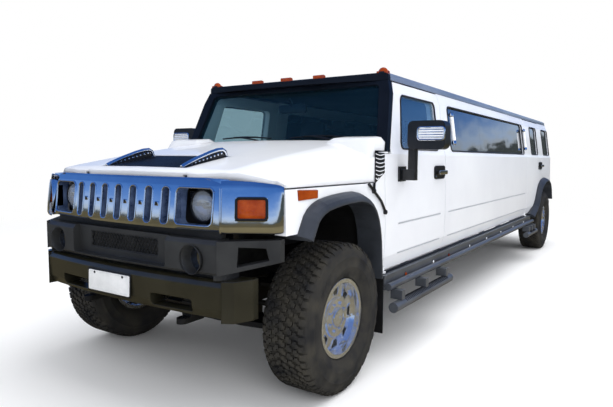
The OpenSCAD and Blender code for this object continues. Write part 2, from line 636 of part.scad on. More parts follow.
module tail_lamps() color("red") both() along_x(tail_x(1000) - 16, tail_x(1000) - seat)
    pill(gate_w / 2 + 30, gate_w / 2 + 120, 1000, 1180, 20);

// Running gear
module chassis_frame() color("black") {
    inner = rail_y - rail_w - seat;
    low = rail_low_z - seat;
    both() {
        box(rear_x - 780 + seat, 640, rail_y - rail_w, rail_y, rail_low_z, rail_top_z);
        for (a = [-110, 40]) box(a, a + 70, 300, 330, 345 + seat, 465 - seat);
        box(-110, 110, 300, rail_y - 5, 465, low);
        for (a = jack_x) box(a - 60, a + 60, rail_y - 65, rail_y - 5, low - pad_h, low);
    }
    for (a = cross_x) box(a - 50, a + 50, -inner, inner, rail_low_z, rail_low_z + cross_h);
    box(-110, 110, -330, 330, 300, 345);
    translate([rear_x - 860, 0, low - 40]) difference() {
        box(0, 200, -40, 40, -40, 40);
        box(-10, 160, -hitch_in / 2, hitch_in / 2, -hitch_in / 2, hitch_in / 2);
    }
}
module tow_hooks() color("black") both() translate([0, rail_y - 35, rail_low_z - seat - 30]) difference() {
    union() {
        box(540, hook_x, -31, 31, 0, 30);
        translate([hook_x, 0, 0]) cylinder(r = 31, h = 30);
    }
    translate([hook_x, 0, -1]) cylinder(r = eye_r, h = 32);
}
module powertrain() color("gray") {
    box(-420, 260, -280, 280, rail_low_z + cross_h + seat, 1110);
    box(-1400, -421, -160, 160, 360, rail_low_z - seat);
    translate([0, 0, tyre_r]) rod_x(38, rear_x + 125 + seat, -1400 - seat);
}
module exhaust() color("gray") {
    translate([0, -250, 352]) {
        rod_x(28, rear_x - 760, -2900);
        rod_x(28, -2300, -700);
    }
    along_x(-2950, -2250) pill(-345, -175, 322, rail_low_z - seat, 60);
}
module fuel_tank() color("black") along_x(rear_x + 1000, rear_x + 1900)
    pill(60, 350, 320, rail_low_z - seat, 40);
module front_suspension() color("black") both() {
    plate_arm(300, 34, 330 + seat, 110);
    plate_arm(562, 22, rail_y + seat, 60);
    translate([0, 0, tyre_r]) rod_y(18, 0, kingpin_y - 42);
    box(-70, 70, 0, 140, 345 + seat, 470);
}
module plate_arm(h, t, y_in, w) translate([0, 0, h]) {
    linear_extrude(t) polygon([[-w, y_in], [w, y_in], [28, kingpin_y], [-28, kingpin_y]]);
    translate([0, kingpin_y, 0]) cylinder(r = 34, h = t);
}
module knuckle() color("gray") {
    translate([0, kingpin_y, 334.3]) cylinder(r = 38, h = 562 - 334.6);
    translate([0, 0, tyre_r]) {
        rod_y(58, kingpin_y, wheel_y + hub_face - 0.3);
        rod_y(150, kingpin_y + 60, kingpin_y + 80);
    }
}
module rear_axle() color("black") translate([rear_x, 0, tyre_r]) {
    rod_y(45, -wheel_y, wheel_y);
    sphere(125);
    both() {
        rod_y(58, wheel_y - 60, wheel_y + hub_face - 0.3);
        rod_y(150, wheel_y - 46, wheel_y - 20);
        translate([0, rail_y - rail_w / 2, 20]) cylinder(r = 30, h = rail_low_z - tyre_r - 20 - seat);
    }
}
module wheel_at(ax) translate([ax, wheel_y, tyre_r]) rotate([-90, 0, 0]) children();
module tyre() color("black") rotate_extrude($fn = 96) polygon([[217, 100], [232, 106], [238, 124],
    [280, 150], [330, tyre_w / 2], [380, 150], [412, 140], [428, 126], [tyre_r, 104], [tyre_r, -104],
    [428, -126], [412, -140], [380, -150], [330, -tyre_w / 2], [280, -150], [238, -124], [232, -106],
    [217, -100], [217, -84], [300, -132], [400, -118], [416, 0], [400, 118], [300, 132], [217, 84]]);
module rim() color("silver") difference() {
    union() {
        rotate_extrude($fn = 96) polygon([[rim_r, rim_w / 2], [rim_r, rim_w / 2 - 10], [216.5, 103],
            [214, 60], [200, 40], [200, -40], [214, -70], [216.5, -103], [rim_r, -rim_w / 2 + 10],
            [rim_r, -rim_w / 2], [206, -rim_w / 2], [204, -90], [190, -40], [190, 36], [0, hub_face],
            [0, 92], [20, 92], [24, 84], [112, 84], [118, 70], [190, 62], [203, 90], [206, rim_w / 2]]);
        for (i = [0:7]) rotate(i * 45 + 22.5) translate([82, 0, 80]) cylinder(r = 11, h = 14, $fn = 6);
    }
    for (i = [0:spokes - 1]) rotate(i * 360 / spokes) translate([0, 0, 20]) linear_extrude(80)
        polygon([[128, -22], [186, -44], [186, 44], [128, 22]]);
}

// Cabin
module floor_pan() color("black") {
    difference() {
        union() {
            box(tail_x(500) + 70, front_hinge_x - 10, -floor_y, floor_y,
                rail_top_z + seat, rail_top_z + 26);
            box(front_hinge_x - 10, front_hinge_x + 24, -floor_y, floor_y, rail_top_z + seat, 1380);
        }
        both() arch_cut(smooth(rear_path()), seat, 500);
    }
    both() box(front_hinge_x - 20, front_hinge_x + 24, floor_y - 30, floor_y, 1300, 1399);
}
module dashboard() color("black") {
    translate([front_hinge_x, 0, 0]) along_y(-floor_y + 40, floor_y - 40)
        polygon([[-10 - seat, 1000], [-10 - seat, 1360], [-130, 1370], [-330, 1300],
            [-340, 1180], [-220, 1000]]);
    translate([front_hinge_x - 420, -400, 1230]) rotate([0, -65, 0]) {
        rotate_extrude() translate([185, 0]) circle(15);
        box(-12, 12, -185, 185, -8, 8);
        translate([0, 0, -260]) cylinder(r = 24, h = 262);
    }
}
module seats() color("dimgray") {
    base = rail_top_z + 26 + seat;
    for (s = [-1, 1]) translate([front_hinge_x - 1050, s * 420, base]) {
        box(0, 520, -260, 260, 0, 330);
        translate([-30, 0, 250]) rotate([0, -14, 0]) box(0, 130, -250, 250, 0, 640);
    }
    translate([rear_x + 760, 0, base]) {
        box(0, 560, -780, 780, 0, 330);
        translate([-60, 0, 200]) rotate([0, -12, 0]) box(0, 140, -720, 720, 0, 600);
    }
    translate([0, -780, base]) {
        box(rear_x + 1330, front_hinge_x - 1700, 0, 480, 0, 330);
        box(rear_x + 1330, front_hinge_x - 1700, 0, 120, 330, 720);
    }
}

from_axle() chassis_frame();
from_axle() powertrain();
from_axle() exhaust();
from_axle() fuel_tank();
from_axle() front_suspension();
from_axle() rear_axle();
from_axle() floor_pan();
from_axle() roof_panel();
from_axle() windscreen_frame();
from_axle() windscreen();
from_axle() side_panels();
from_axle() quarter_panels();
from_axle() side_windows();
from_axle() front_fenders();
from_axle() wheel_flares();
from_axle() arch_liners();
from_axle() radiator_panel();
from_axle() grille();
from_axle() headlamps();
from_axle() amber_lamps();
from_axle() front_bumper();
from_axle() lower_bumper();
from_axle() side_steps();
from_axle() rear_bumper();
from_axle() tail_lamps();
from_axle() tow_hooks();
from_axle() mud_flaps();
from_axle() dashboard();
from_axle() seats();
from_axle() hood();
from_axle() hood_vent();
from_axle() front_door();  // front_door_left
from_axle() mirror([0, 1, 0]) front_door();  // front_door_right
from_axle() front_window();  // front_window_left
from_axle() mirror([0, 1, 0]) front_window();  // front_window_right
from_axle() mirror_unit();  // mirror_left
from_axle() mirror([0, 1, 0]) mirror_unit();  // mirror_right
from_axle() front_handle();  // handle_front_left
from_axle() mirror([0, 1, 0]) front_handle();  // handle_front_right
from_axle() rear_door();  // rear_door_left
from_axle() mirror([0, 1, 0]) rear_door();  // rear_door_right
from_axle() rear_window();  // rear_window_left
from_axle() mirror([0, 1, 0]) rear_window();  // rear_window_right
from_axle() rear_handle();  // handle_rear_left
from_axle() mirror([0, 1, 0]) rear_handle();  // handle_rear_right
from_axle() tailgate();
from_axle() tailgate_window();
from_axle() knuckle();  // knuckle_left
from_axle() mirror([0, 1, 0]) knuckle();  // knuckle_right
from_axle() wheel_at(0) tyre();  // tyre_front_left
from_axle() mirror([0, 1, 0]) wheel_at(0) tyre();  // tyre_front_right
from_axle() wheel_at(rear_x) tyre();  // tyre_rear_left
from_axle() mirror([0, 1, 0]) wheel_at(rear_x) tyre();  // tyre_rear_right
from_axle() wheel_at(0) rim();  // rim_front_left
from_axle() mirror([0, 1, 0]) wheel_at(0) rim();  // rim_front_right
from_axle() wheel_at(rear_x) rim();  // rim_rear_left
from_axle() mirror([0, 1, 0]) wheel_at(rear_x) rim();  // rim_rear_right
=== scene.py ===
import json
import math

import bmesh
import bpy
from mathutils import Matrix, Vector

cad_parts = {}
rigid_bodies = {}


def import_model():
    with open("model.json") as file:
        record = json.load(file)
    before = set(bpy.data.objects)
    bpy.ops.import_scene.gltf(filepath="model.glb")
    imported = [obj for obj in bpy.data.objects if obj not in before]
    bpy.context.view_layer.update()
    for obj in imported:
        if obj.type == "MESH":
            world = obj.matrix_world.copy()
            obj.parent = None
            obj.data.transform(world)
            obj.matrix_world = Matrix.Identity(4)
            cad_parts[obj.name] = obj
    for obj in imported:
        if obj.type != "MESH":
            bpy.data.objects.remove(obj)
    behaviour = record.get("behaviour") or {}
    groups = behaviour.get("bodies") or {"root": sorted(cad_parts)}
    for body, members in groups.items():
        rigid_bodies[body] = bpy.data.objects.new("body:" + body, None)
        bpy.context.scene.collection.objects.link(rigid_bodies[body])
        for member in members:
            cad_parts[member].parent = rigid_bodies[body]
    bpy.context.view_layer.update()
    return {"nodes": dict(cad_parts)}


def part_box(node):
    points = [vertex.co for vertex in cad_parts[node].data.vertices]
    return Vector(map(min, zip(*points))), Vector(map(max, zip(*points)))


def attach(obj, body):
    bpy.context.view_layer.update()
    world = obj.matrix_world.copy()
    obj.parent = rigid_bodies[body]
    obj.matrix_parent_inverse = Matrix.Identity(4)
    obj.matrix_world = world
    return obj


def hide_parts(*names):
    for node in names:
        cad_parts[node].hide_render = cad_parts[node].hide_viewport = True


for item in list(bpy.data.objects):
    bpy.data.objects.remove(item)
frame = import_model()
nodes = frame["nodes"]
print("frame loaded", len(nodes))

# Every length below is in millimetres from the middle of the front axle: X forward, Y left, Z up
tyreLow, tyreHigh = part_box("tyre_front_left")
axleX = (tyreLow.x + tyreHigh.x) / 2
toFrame = Matrix.Translation((axleX, 0, 0)) @ Matrix.Scale(0.001, 4)
wheelBase = (axleX - sum(c.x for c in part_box("tyre_rear_left")) / 2) * 1000
sides = {"left": 1, "right": -1}


# Colours and shader nodes
def toLinear(code):
    parts = [int(code[i:i + 2], 16) / 255 for i in (0, 2, 4)]
    return [c / 12.92 if c <= 0.04045 else ((c + 0.055) / 1.055) ** 2.4 for c in parts] + [1]


def addNode(tree, kind, settings=None, *ordered, **named):
    # Inputs come in order or by name: a socket is linked, hex text is a colour, None leaves the input alone
    node = tree.nodes.new(kind)
    for key, value in (settings or {}).items():
        if key == "stops":
            elements = node.color_ramp.elements
            while len(elements) < len(value):
                elements.new(0.5)
            for element, (place, code) in zip(elements, value):
                element.position = place
                element.color = toLinear(code)
        else:
            setattr(node, key, value)
    for key, value in [*enumerate(ordered), *((k.replace("_", " "), v) for k, v in named.items())]:
        if isinstance(value, bpy.types.NodeSocket):
            tree.links.new(value, node.inputs[key])
        elif value is not None:
            node.inputs[key].default_value = toLinear(value) if isinstance(value, str) else value
    return node


# What all finishes share: where the two tones and the roughness sit on the cloudy pattern, and for each
# relief its node, settings, output and the scale of a pattern one millimetre wide
pattern = {"toneSpan": (0.35, 0.68), "roughSpan": (0.3, 0.7), "cloudDetail": 5, "cloudRoughness": 0.6,
           "edgeSamples": 6, "reliefDepth": 0.25,
           "relief": {"grain": ("ShaderNodeTexNoise", None, "Fac", 1000),
                      "cells": ("ShaderNodeTexVoronoi", None, "Distance", 1000),
                      "ribs": ("ShaderNodeTexWave", {"bands_direction": "Y"}, "Fac", 314)}}


def surface(name, look):
    # Two tones mixed by a cloudy pattern, a fine relief and softened edges
    mat = bpy.data.materials.new(name)
    mat.use_nodes = True
    tree = mat.node_tree
    shader = tree.nodes["Principled BSDF"]
    values = look.get("values", {})
    for key, value in values.items():
        shader.inputs[key].default_value = value
    place = addNode(tree, "ShaderNodeTexCoord").outputs["Object"]
    cloud = addNode(tree, "ShaderNodeTexNoise", Vector=place, Scale=1000 / look["cloudMm"],
                    Detail=pattern["cloudDetail"], Roughness=pattern["cloudRoughness"]).outputs["Fac"]
    tones = {"stops": list(zip(pattern["toneSpan"], look["tones"]))}
    wanted = {"Base Color": addNode(tree, "ShaderNodeValToRGB", tones, cloud).outputs["Color"],
              "Roughness": addNode(tree, "ShaderNodeMapRange", None, cloud, *pattern["roughSpan"],
                                   *look["rough"]).outputs["Result"]}
    normal = None
    if "edgeMm" in look:
        normal = addNode(tree, "ShaderNodeBevel", {"samples": pattern["edgeSamples"]},
                         Radius=look["edgeMm"] / 1000).outputs["Normal"]
    if "crown" in look:
        # A shallow bulge over the height of the piece, from its middle and its radius in metres
        middle, radius = look["crown"]
        rise = addNode(tree, "ShaderNodeSeparateXYZ", None, place).outputs["Z"]
        off = addNode(tree, "ShaderNodeMath", {"operation": "SUBTRACT"}, rise, middle).outputs["Value"]
        square = addNode(tree, "ShaderNodeMath", {"operation": "MULTIPLY"}, off, off).outputs["Value"]
        bulge = addNode(tree, "ShaderNodeMath", {"operation": "MULTIPLY"}, square, -0.5 / radius)
        normal = addNode(tree, "ShaderNodeBump", Height=bulge.outputs["Value"], Strength=1.0, Distance=1.0,
                         Normal=normal).outputs["Normal"]
    kind, settings, output, scale = pattern["relief"][look.get("relief", "grain")]
    fine = addNode(tree, kind, settings, Vector=place, Scale=scale / look["reliefMm"]).outputs[output]
    wanted["Normal"] = addNode(tree, "ShaderNodeBump", Height=fine, Strength=look["reliefStrength"],
                               Distance=look["reliefMm"] * pattern["reliefDepth"] / 1000,
                               Normal=normal).outputs["Normal"]
    if "edgeMm" in look and values.get("Coat Weight"):
        wanted["Coat Normal"] = wanted["Normal"]
    for key, socket in wanted.items():
        tree.links.new(socket, shader.inputs[key])
    return mat


def glass(name, look):
    # Thin tinted sheet: what is behind shows through the tint, with a sharp reflection on its outer face
    mat = bpy.data.materials.new(name)
    mat.use_nodes = True
    tree = mat.node_tree
    tree.nodes.remove(tree.nodes["Principled BSDF"])
    place = addNode(tree, "ShaderNodeTexCoord").outputs["Object"]
    wave = addNode(tree, "ShaderNodeTexNoise", Vector=place, Scale=1000 / look["waveMm"],
                   Detail=1).outputs["Fac"]
    bump = addNode(tree, "ShaderNodeBump", Height=wave, Strength=look["waveStrength"], Distance=0.01)
    clear = addNode(tree, "ShaderNodeBsdfTransparent", Color=look["tint"]).outputs["BSDF"]
    shine = addNode(tree, "ShaderNodeBsdfGlossy", Color=look["shine"], Roughness=look["rough"],
                    Normal=bump.outputs["Normal"]).outputs["BSDF"]
    haze = addNode(tree, "ShaderNodeBsdfDiffuse", Color=look["haze"]).outputs["BSDF"]
    facing = addNode(tree, "ShaderNodeFresnel", IOR=look["ior"]).outputs["Fac"]
    inside = addNode(tree, "ShaderNodeNewGeometry").outputs["Backfacing"]
    outside = addNode(tree, "ShaderNodeMath", {"operation": "SUBTRACT"}, 1, inside).outputs["Value"]
    share = addNode(tree, "ShaderNodeMath", {"operation": "MULTIPLY"}, facing, outside).outputs["Value"]
    mixed = addNode(tree, "ShaderNodeMixShader", None, share, clear, shine).outputs["Shader"]
    veiled = addNode(tree, "ShaderNodeMixShader", None, look["hazeShare"], mixed, haze).outputs["Shader"]
    tree.links.new(veiled, tree.nodes["Material Output"].inputs["Surface"])
    return mat


# Finishes, named for the real material, with what each gives the eye. Grain and orange peel too fine to show
# at this distance are drawn coarser, at 3 to 9 mm
looks = {
    # Bright white body lacquer: even, glossy, with a breath of orange peel
    "whitePaint": {"tones": ["e4e6ec", "edeff3"], "cloudMm": 900, "rough": [0.28, 0.36], "edgeMm": 5,
                   "reliefMm": 9, "reliefStrength": 0.03,
                   "values": {"Coat Weight": 0.6, "Coat Roughness": 0.06, "Specular IOR Level": 0.4}},
    # The same lacquer on the hood, its folds rounded wide
    "hoodPaint": {"tones": ["e6e8ee", "eff1f4"], "cloudMm": 900, "rough": [0.3, 0.38], "edgeMm": 42,
                  "reliefMm": 9, "reliefStrength": 0.02,
                  "values": {"Coat Weight": 0.45, "Coat Roughness": 0.08, "Specular IOR Level": 0.4}},
    # Blue-black roof lacquer: dark, with a dull weathered sheen
    "roofLacquer": {"tones": ["0b1018", "131a26"], "cloudMm": 700, "rough": [0.38, 0.5], "edgeMm": 6,
                    "reliefMm": 8, "reliefStrength": 0.03, "values": {"Specular IOR Level": 0.14}},
    # Chromed metal: sky above, ground below
    "chrome": {"tones": ["dfe4ec", "f2f4f8"], "cloudMm": 260, "rough": [0.03, 0.09], "edgeMm": 4,
               "reliefMm": 60, "reliefStrength": 0.02, "values": {"Metallic": 1.0}},
    # The grille's chrome, pressed with a slight crown so that it runs from sky to ground
    "crownedChrome": {"tones": ["dfe4ec", "f2f4f8"], "cloudMm": 260, "rough": [0.04, 0.1], "edgeMm": 4,
                      "reliefMm": 60, "reliefStrength": 0.02, "crown": (1.075, 1.15),
                      "values": {"Metallic": 1.0}},
    # Wheel chrome: hammered by the road, so that the sky breaks up in it
    "rimChrome": {"tones": ["dfe3e9", "f4f6fa"], "cloudMm": 120, "rough": [0.04, 0.14], "edgeMm": 4,
                  "reliefMm": 48, "reliefStrength": 0.35, "values": {"Metallic": 0.9}},
    # Grained black bumper plastic: dull with a soft sheen
    "bumperPlastic": {"tones": ["252628", "343535"], "cloudMm": 240, "rough": [0.42, 0.56], "edgeMm": 5,
                      "relief": "cells", "reliefMm": 3, "reliefStrength": 0.12,
                      "values": {"Specular IOR Level": 0.45}},
    # Lower bumper: the same plastic, polished, its olive-brown tones a painted reflection of the grass below
    "valancePlasticGroundTint": {"tones": ["1f1e17", "2d2b1f"], "cloudMm": 300, "rough": [0.26, 0.38], "edgeMm": 8,
                       "relief": "cells", "reliefMm": 3, "reliefStrength": 0.06,
                       "values": {"Specular IOR Level": 0.6, "Coat Weight": 0.15}},
    # Slot linings: dull alloy, their blue tones a painted reflection of the sky
    "sleevePaintedSky": {"tones": ["3c4d70", "6d81a8"], "cloudMm": 60, "rough": [0.25, 0.4],
                    "reliefMm": 6, "reliefStrength": 0.05, "values": {"Metallic": 0.25}},
    # Weathered flare plastic: greyer than the bumper
    "flarePlastic": {"tones": ["2b2e33", "3c4047"], "cloudMm": 220, "rough": [0.4, 0.52], "edgeMm": 9,
                     "relief": "cells", "reliefMm": 3, "reliefStrength": 0.1,
                     "values": {"Specular IOR Level": 0.5}},
    # Satin step coating: dark slate with long highlights
    "stepCoat": {"tones": ["3f4248", "53575e"], "cloudMm": 260, "rough": [0.3, 0.42], "edgeMm": 4,
                 "reliefMm": 4, "reliefStrength": 0.12, "values": {"Coat Weight": 0.2}},
    # Moulded black trim: mirrors, vents and seals
    "blackTrim": {"tones": ["101113", "1b1c1f"], "cloudMm": 120, "rough": [0.3, 0.42], "edgeMm": 3,
                  "reliefMm": 3, "reliefStrength": 0.08},
    # Tyre rubber: dusty brown-black
    "tyreRubber": {"tones": ["212122", "3a3730"], "cloudMm": 130, "rough": [0.7, 0.88],
                   "reliefMm": 5, "reliefStrength": 0.25, "values": {"Specular IOR Level": 0.35}},
    # Mud-flap rubber: flat black
    "flapRubber": {"tones": ["141415", "1f1f20"], "cloudMm": 160, "rough": [0.6, 0.75], "edgeMm": 3,
                   "relief": "cells", "reliefMm": 6, "reliefStrength": 0.15},
    # Chassis paint: black with road dust
    "framePaint": {"tones": ["0b0b0c", "1d1b18"], "cloudMm": 180, "rough": [0.5, 0.7], "edgeMm": 3,
                   "reliefMm": 5, "reliefStrength": 0.2},
    # Cast iron and alloy: grey and pitted
    "castMetal": {"tones": ["2b2c2e", "4a4a48"], "cloudMm": 90, "rough": [0.45, 0.65], "edgeMm": 3,
                  "reliefMm": 4, "reliefStrength": 0.3, "values": {"Metallic": 0.7}},
    # Bare steel pipe: dull with heat stain
    "bareSteel": {"tones": ["6d6a66", "8f8c86"], "cloudMm": 140, "rough": [0.35, 0.5], "edgeMm": 3,
                  "reliefMm": 4, "reliefStrength": 0.1, "values": {"Metallic": 0.9}},
    # Cabin carpet and board: black and woolly
    "cabinCarpet": {"tones": ["0c0c0e", "151518"], "cloudMm": 90, "rough": [0.85, 0.95],
                    "reliefMm": 4, "reliefStrength": 0.5},
    # Seat leather: black, pebbled, softly shining
    "seatLeather": {"tones": ["19191b", "29282a"], "cloudMm": 200, "rough": [0.4, 0.55],
                    "relief": "cells", "reliefMm": 5, "reliefStrength": 0.3},
    # Amber lens plastic: glowing orange with a moulded cell relief
    "amberLens": {"tones": ["7d2e08", "99420e"], "cloudMm": 60, "rough": [0.1, 0.2], "edgeMm": 6,
                  "relief": "cells", "reliefMm": 16, "reliefStrength": 0.35,
                  "values": {"Specular IOR Level": 0.3, "Coat Weight": 0.1, "Emission Strength": 0.05,
                             "Emission Color": toLinear("e0661c")}},
    # Red lens plastic: deep red with ribs
    "redLens": {"tones": ["7a0d10", "a5171a"], "cloudMm": 40, "rough": [0.1, 0.2], "edgeMm": 3,
                "relief": "ribs", "reliefMm": 14, "reliefStrength": 0.4,
                "values": {"Coat Weight": 0.6, "Emission Strength": 0.08,
                           "Emission Color": toLinear("c01a1a")}},
    # Frosted lamp tube: milky white
    "frostedLens": {"tones": ["d9dee6", "eef1f5"], "cloudMm": 60, "rough": [0.3, 0.4], "edgeMm": 2,
                    "reliefMm": 5, "reliefStrength": 0.1,
                    "values": {"Emission Strength": 0.1, "Emission Color": toLinear("ffffff")}},
    # Lamp reflector: bright crinkled silver
    "reflector": {"tones": ["aeb4be", "e3e7ee"], "cloudMm": 30, "rough": [0.08, 0.2],
                  "relief": "cells", "reliefMm": 22, "reliefStrength": 0.3, "values": {"Metallic": 1.0}},
    # Roof rail: satin grey coat that catches the sky along its length; the blue in its grey tones is a
    # painted sky reflection
    "railCoatSkyTint": {"tones": ["5f6c84", "76839a"], "cloudMm": 700, "rough": [0.3, 0.4],
                 "reliefMm": 4, "reliefStrength": 0.06, "values": {"Coat Weight": 0.3}},
    # Painted groove shade: pale grey, a soft line of painted shade along the doors
    "paintedGrooveShade": {"tones": ["a9adb2", "b9bcc1"], "cloudMm": 300, "rough": [0.5, 0.6],
                    "reliefMm": 3, "reliefStrength": 0.05},
    # Number-plate enamel: plain pale sheet, pressed rim
    "plateEnamel": {"tones": ["d6d8da", "e6e7e8"], "cloudMm": 80, "rough": [0.3, 0.4], "edgeMm": 2,
                    "reliefMm": 3, "reliefStrength": 0.05},
    # Dark window glass: almost black, reflecting the sky
    "darkGlass": {"tones": ["0b1018", "111a28"], "cloudMm": 900, "rough": [0.02, 0.05],
                  "reliefMm": 500, "reliefStrength": 0.02,
                  "values": {"Specular IOR Level": 0.9, "IOR": 1.7, "Coat Weight": 1.0,
                             "Coat Roughness": 0.02, "Coat IOR": 1.9}},
}
mats = {name: surface(name, look) for name, look in looks.items()}
sheets = {
    # Windscreen: green-blue tint with a view into the dark cabin
    "clearGlass": {"tint": "dbeaed", "shine": "ffffff", "rough": 0.01, "ior": 1.35, "waveMm": 700,
                   "waveStrength": 0.02, "haze": "31566a", "hazeShare": 0.06},
    # Front door panes: the same tint, reflecting more of the sky, with a blue veil that is a painted sky
    # reflection
    "doorGlass": {"tint": "e6f0f3", "shine": "ffffff", "rough": 0.01, "ior": 2.1, "waveMm": 700,
                  "waveStrength": 0.02, "haze": "4f7db0", "hazeShare": 0.16},
    # Headlamp lens: pale pressed glass, half hiding the bowl
    "lampGlass": {"tint": "e8edf2", "shine": "ffffff", "rough": 0.04, "ior": 2.7, "waveMm": 34,
                  "waveStrength": 0.4, "haze": "c6d0de", "hazeShare": 0.28},
}
mats.update({name: glass(name, look) for name, look in sheets.items()})
print("finishes made", len(mats))

# Which finish each CAD node takes
finishes = {
    "framePaint": ["chassis_frame", "fuel_tank", "rear_axle", "front_suspension", "tow_hooks"],
    "castMetal": ["powertrain", "knuckle_left", "knuckle_right"],
    "bareSteel": ["exhaust"],
    "cabinCarpet": ["floor_pan", "dashboard"],
    "seatLeather": ["seats"],
    "roofLacquer": ["roof_panel", "windscreen_frame"],
    "clearGlass": ["windscreen"],
    "whitePaint": ["side_panels", "quarter_panels", "front_fenders", "front_door_left", "front_door_right",
                   "rear_door_left", "rear_door_right", "tailgate"],
    "hoodPaint": ["hood"],
    "darkGlass": ["side_windows", "rear_window_left", "rear_window_right", "tailgate_window"],
    "flarePlastic": ["wheel_flares"],
    "stepCoat": ["side_steps"],
    "bumperPlastic": ["front_bumper", "rear_bumper"],
    # The lower bumper's olive-brown tones are a painted reflection of the ground
    "valancePlasticGroundTint": ["lower_bumper"],
    "doorGlass": ["front_window_left", "front_window_right"],
    "blackTrim": ["arch_liners", "radiator_panel", "hood_vent", "mirror_left", "mirror_right",
                  "handle_front_left", "handle_front_right", "handle_rear_left", "handle_rear_right"],
    "crownedChrome": ["grille"],
    "rimChrome": ["rim_front_left", "rim_front_right", "rim_rear_left", "rim_rear_right"],
    "lampGlass": ["headlamps"],
    "amberLens": ["amber_lamps"],
    "redLens": ["tail_lamps"],
    "flapRubber": ["mud_flaps"],
    "tyreRubber": ["tyre_front_left", "tyre_front_right", "tyre_rear_left", "tyre_rear_right"],
}
for name, members in finishes.items():
    for member in members:
        data = nodes[member].data
        data.materials.clear()
        data.materials.append(mats[name])
print("CAD nodes finished", sum(len(m) for m in finishes.values()))


# Mesh builders, all in millimetres
def merge(bm, part, place, index):
    bmesh.ops.transform(part, matrix=place or Matrix(), verts=part.verts)
    for face in part.faces:
        face.material_index = index
    held = bpy.data.meshes.new("held")
    part.to_mesh(held)
    part.free()
    bm.from_mesh(held)
    bpy.data.meshes.remove(held)


def addBox(bm, low, high, bevel=2, index=0, place=None):
    part = bmesh.new()
    bmesh.ops.create_cube(part, size=1)
    middle = [(a + b) / 2 for a, b in zip(low, high)]
    size = [b - a for a, b in zip(low, high)]
    sized = Matrix.Translation(middle) @ Matrix.Diagonal((*size, 1))
    bmesh.ops.transform(part, matrix=sized, verts=part.verts)
    bmesh.ops.bevel(part, geom=part.edges[:], offset=min(bevel, min(size) * 0.4), segments=2, affect="EDGES",
                    profile=0.6)
    merge(bm, part, place, index)


def addPrism(bm, outline, depth, bevel=1.5, index=0, place=None):
    part = bmesh.new()
    base = part.faces.new([part.verts.new((u, v, 0)) for u, v in outline])
    grown = bmesh.ops.extrude_face_region(part, geom=[base])["geom"]
    raised = [item for item in grown if isinstance(item, bmesh.types.BMVert)]
    bmesh.ops.translate(part, vec=(0, 0, depth), verts=raised)
    bmesh.ops.recalc_face_normals(part, faces=part.faces[:])
    bmesh.ops.bevel(part, geom=part.edges[:], offset=bevel, segments=2, affect="EDGES", profile=0.6,
                    clamp_overlap=True)
    merge(bm, part, place, index)


def addLathe(bm, profile, steps=48, index=0, place=None):
    # Turns a list of (radius, height) round Z
    part = bmesh.new()
    rings = []
    for radius, height in profile:
        if radius < 0.01:
            rings.append([part.verts.new((0, 0, height))])
        else:
            rings.append([part.verts.new((radius * math.cos(t), radius * math.sin(t), height))
                          for t in (2 * math.pi * i / steps for i in range(steps))])
    for a, b in zip(rings, rings[1:]):
        for i in range(steps):
            j = (i + 1) % steps
            corners = [a[i % len(a)], a[j % len(a)], b[j % len(b)], b[i % len(b)]]
            kept = [v for k, v in enumerate(corners) if v not in corners[:k]]
            if len(kept) > 2:
                part.faces.new(kept)
    bmesh.ops.recalc_face_normals(part, faces=part.faces[:])
    merge(bm, part, place, index)


def addTube(bm, points, radius, facets=10, index=0, closed=False, place=None):
    part = bmesh.new()
    path = [Vector(p) for p in points]
    count = len(path)
    rings = []
    up = None
    for i, p in enumerate(path):
        before = path[i - 1] if i or closed else p
        after = path[(i + 1) % count] if i < count - 1 or closed else p
        along = (after - before).normalized()
        if up is None:
            up = along.orthogonal().normalized()
        up = (up - along * up.dot(along)).normalized()
        side = along.cross(up)
        rings.append([part.verts.new(p + (up * math.cos(t) + side * math.sin(t)) * radius)
                      for t in (2 * math.pi * k / facets for k in range(facets))])
    for i in range(count if closed else count - 1):
        a, b = rings[i], rings[(i + 1) % count]
        shift = 0
        if closed and i == count - 1:  # the last ring meets the first at its nearest points
            shift = min(range(facets), key=lambda k: (a[0].co - b[k].co).length)
        for k in range(facets):
            part.faces.new([a[k], a[(k + 1) % facets], b[(k + 1 + shift) % facets], b[(k + shift) % facets]])
    if not closed:
        for ring in (rings[0], rings[-1]):
            part.faces.new(ring)
    bmesh.ops.recalc_face_normals(part, faces=part.faces[:])
    merge(bm, part, place, index)


def addLoft(bm, rings, caps=(), index=0, flip=1):
    # Skins a row of closed rings, which have as many points each, and caps the first or last
    verts = [[bm.verts.new(point) for point in ring] for ring in rings]
    for a, b in zip(verts, verts[1:]):
        for k in range(len(a)):
            j = (k + 1) % len(a)
            bm.faces.new([a[k], a[j], b[j], b[k]][::flip]).material_index = index
    for end in caps:
        bm.faces.new(verts[end][::flip if end else -flip]).material_index = index


def roundRect(u0, u1, v0, v1, radius, steps=6):
    points = []
    for cu, cv, start in ((u1 - radius, v1 - radius, 0), (u0 + radius, v1 - radius, 90),
                          (u0 + radius, v0 + radius, 180), (u1 - radius, v0 + radius, 270)):
        for i in range(steps + 1):
            t = math.radians(start + 90 * i / steps)
            points.append((cu + radius * math.cos(t), cv + radius * math.sin(t)))
    return points


def follow(pairs, u):
    # The height at u of a line through the given pairs
    for (a, p), (b, q) in zip(pairs, pairs[1:]):
        if u <= b:
            return p + (q - p) * (u - a) / (b - a)
    return pairs[-1][1]


def axes(x, y, z, at=(0, 0, 0)):
    # A frame from the directions of its own axes
    return Matrix.Translation(at) @ Matrix((x, y, z)).transposed().to_4x4()


def axisPlace(at, along, up=(0, 0, 1)):
    # A frame whose Z runs along the given direction
    z = Vector(along).normalized()
    x = Vector(up).cross(z).normalized()
    return axes(x, z.cross(x), z, at)


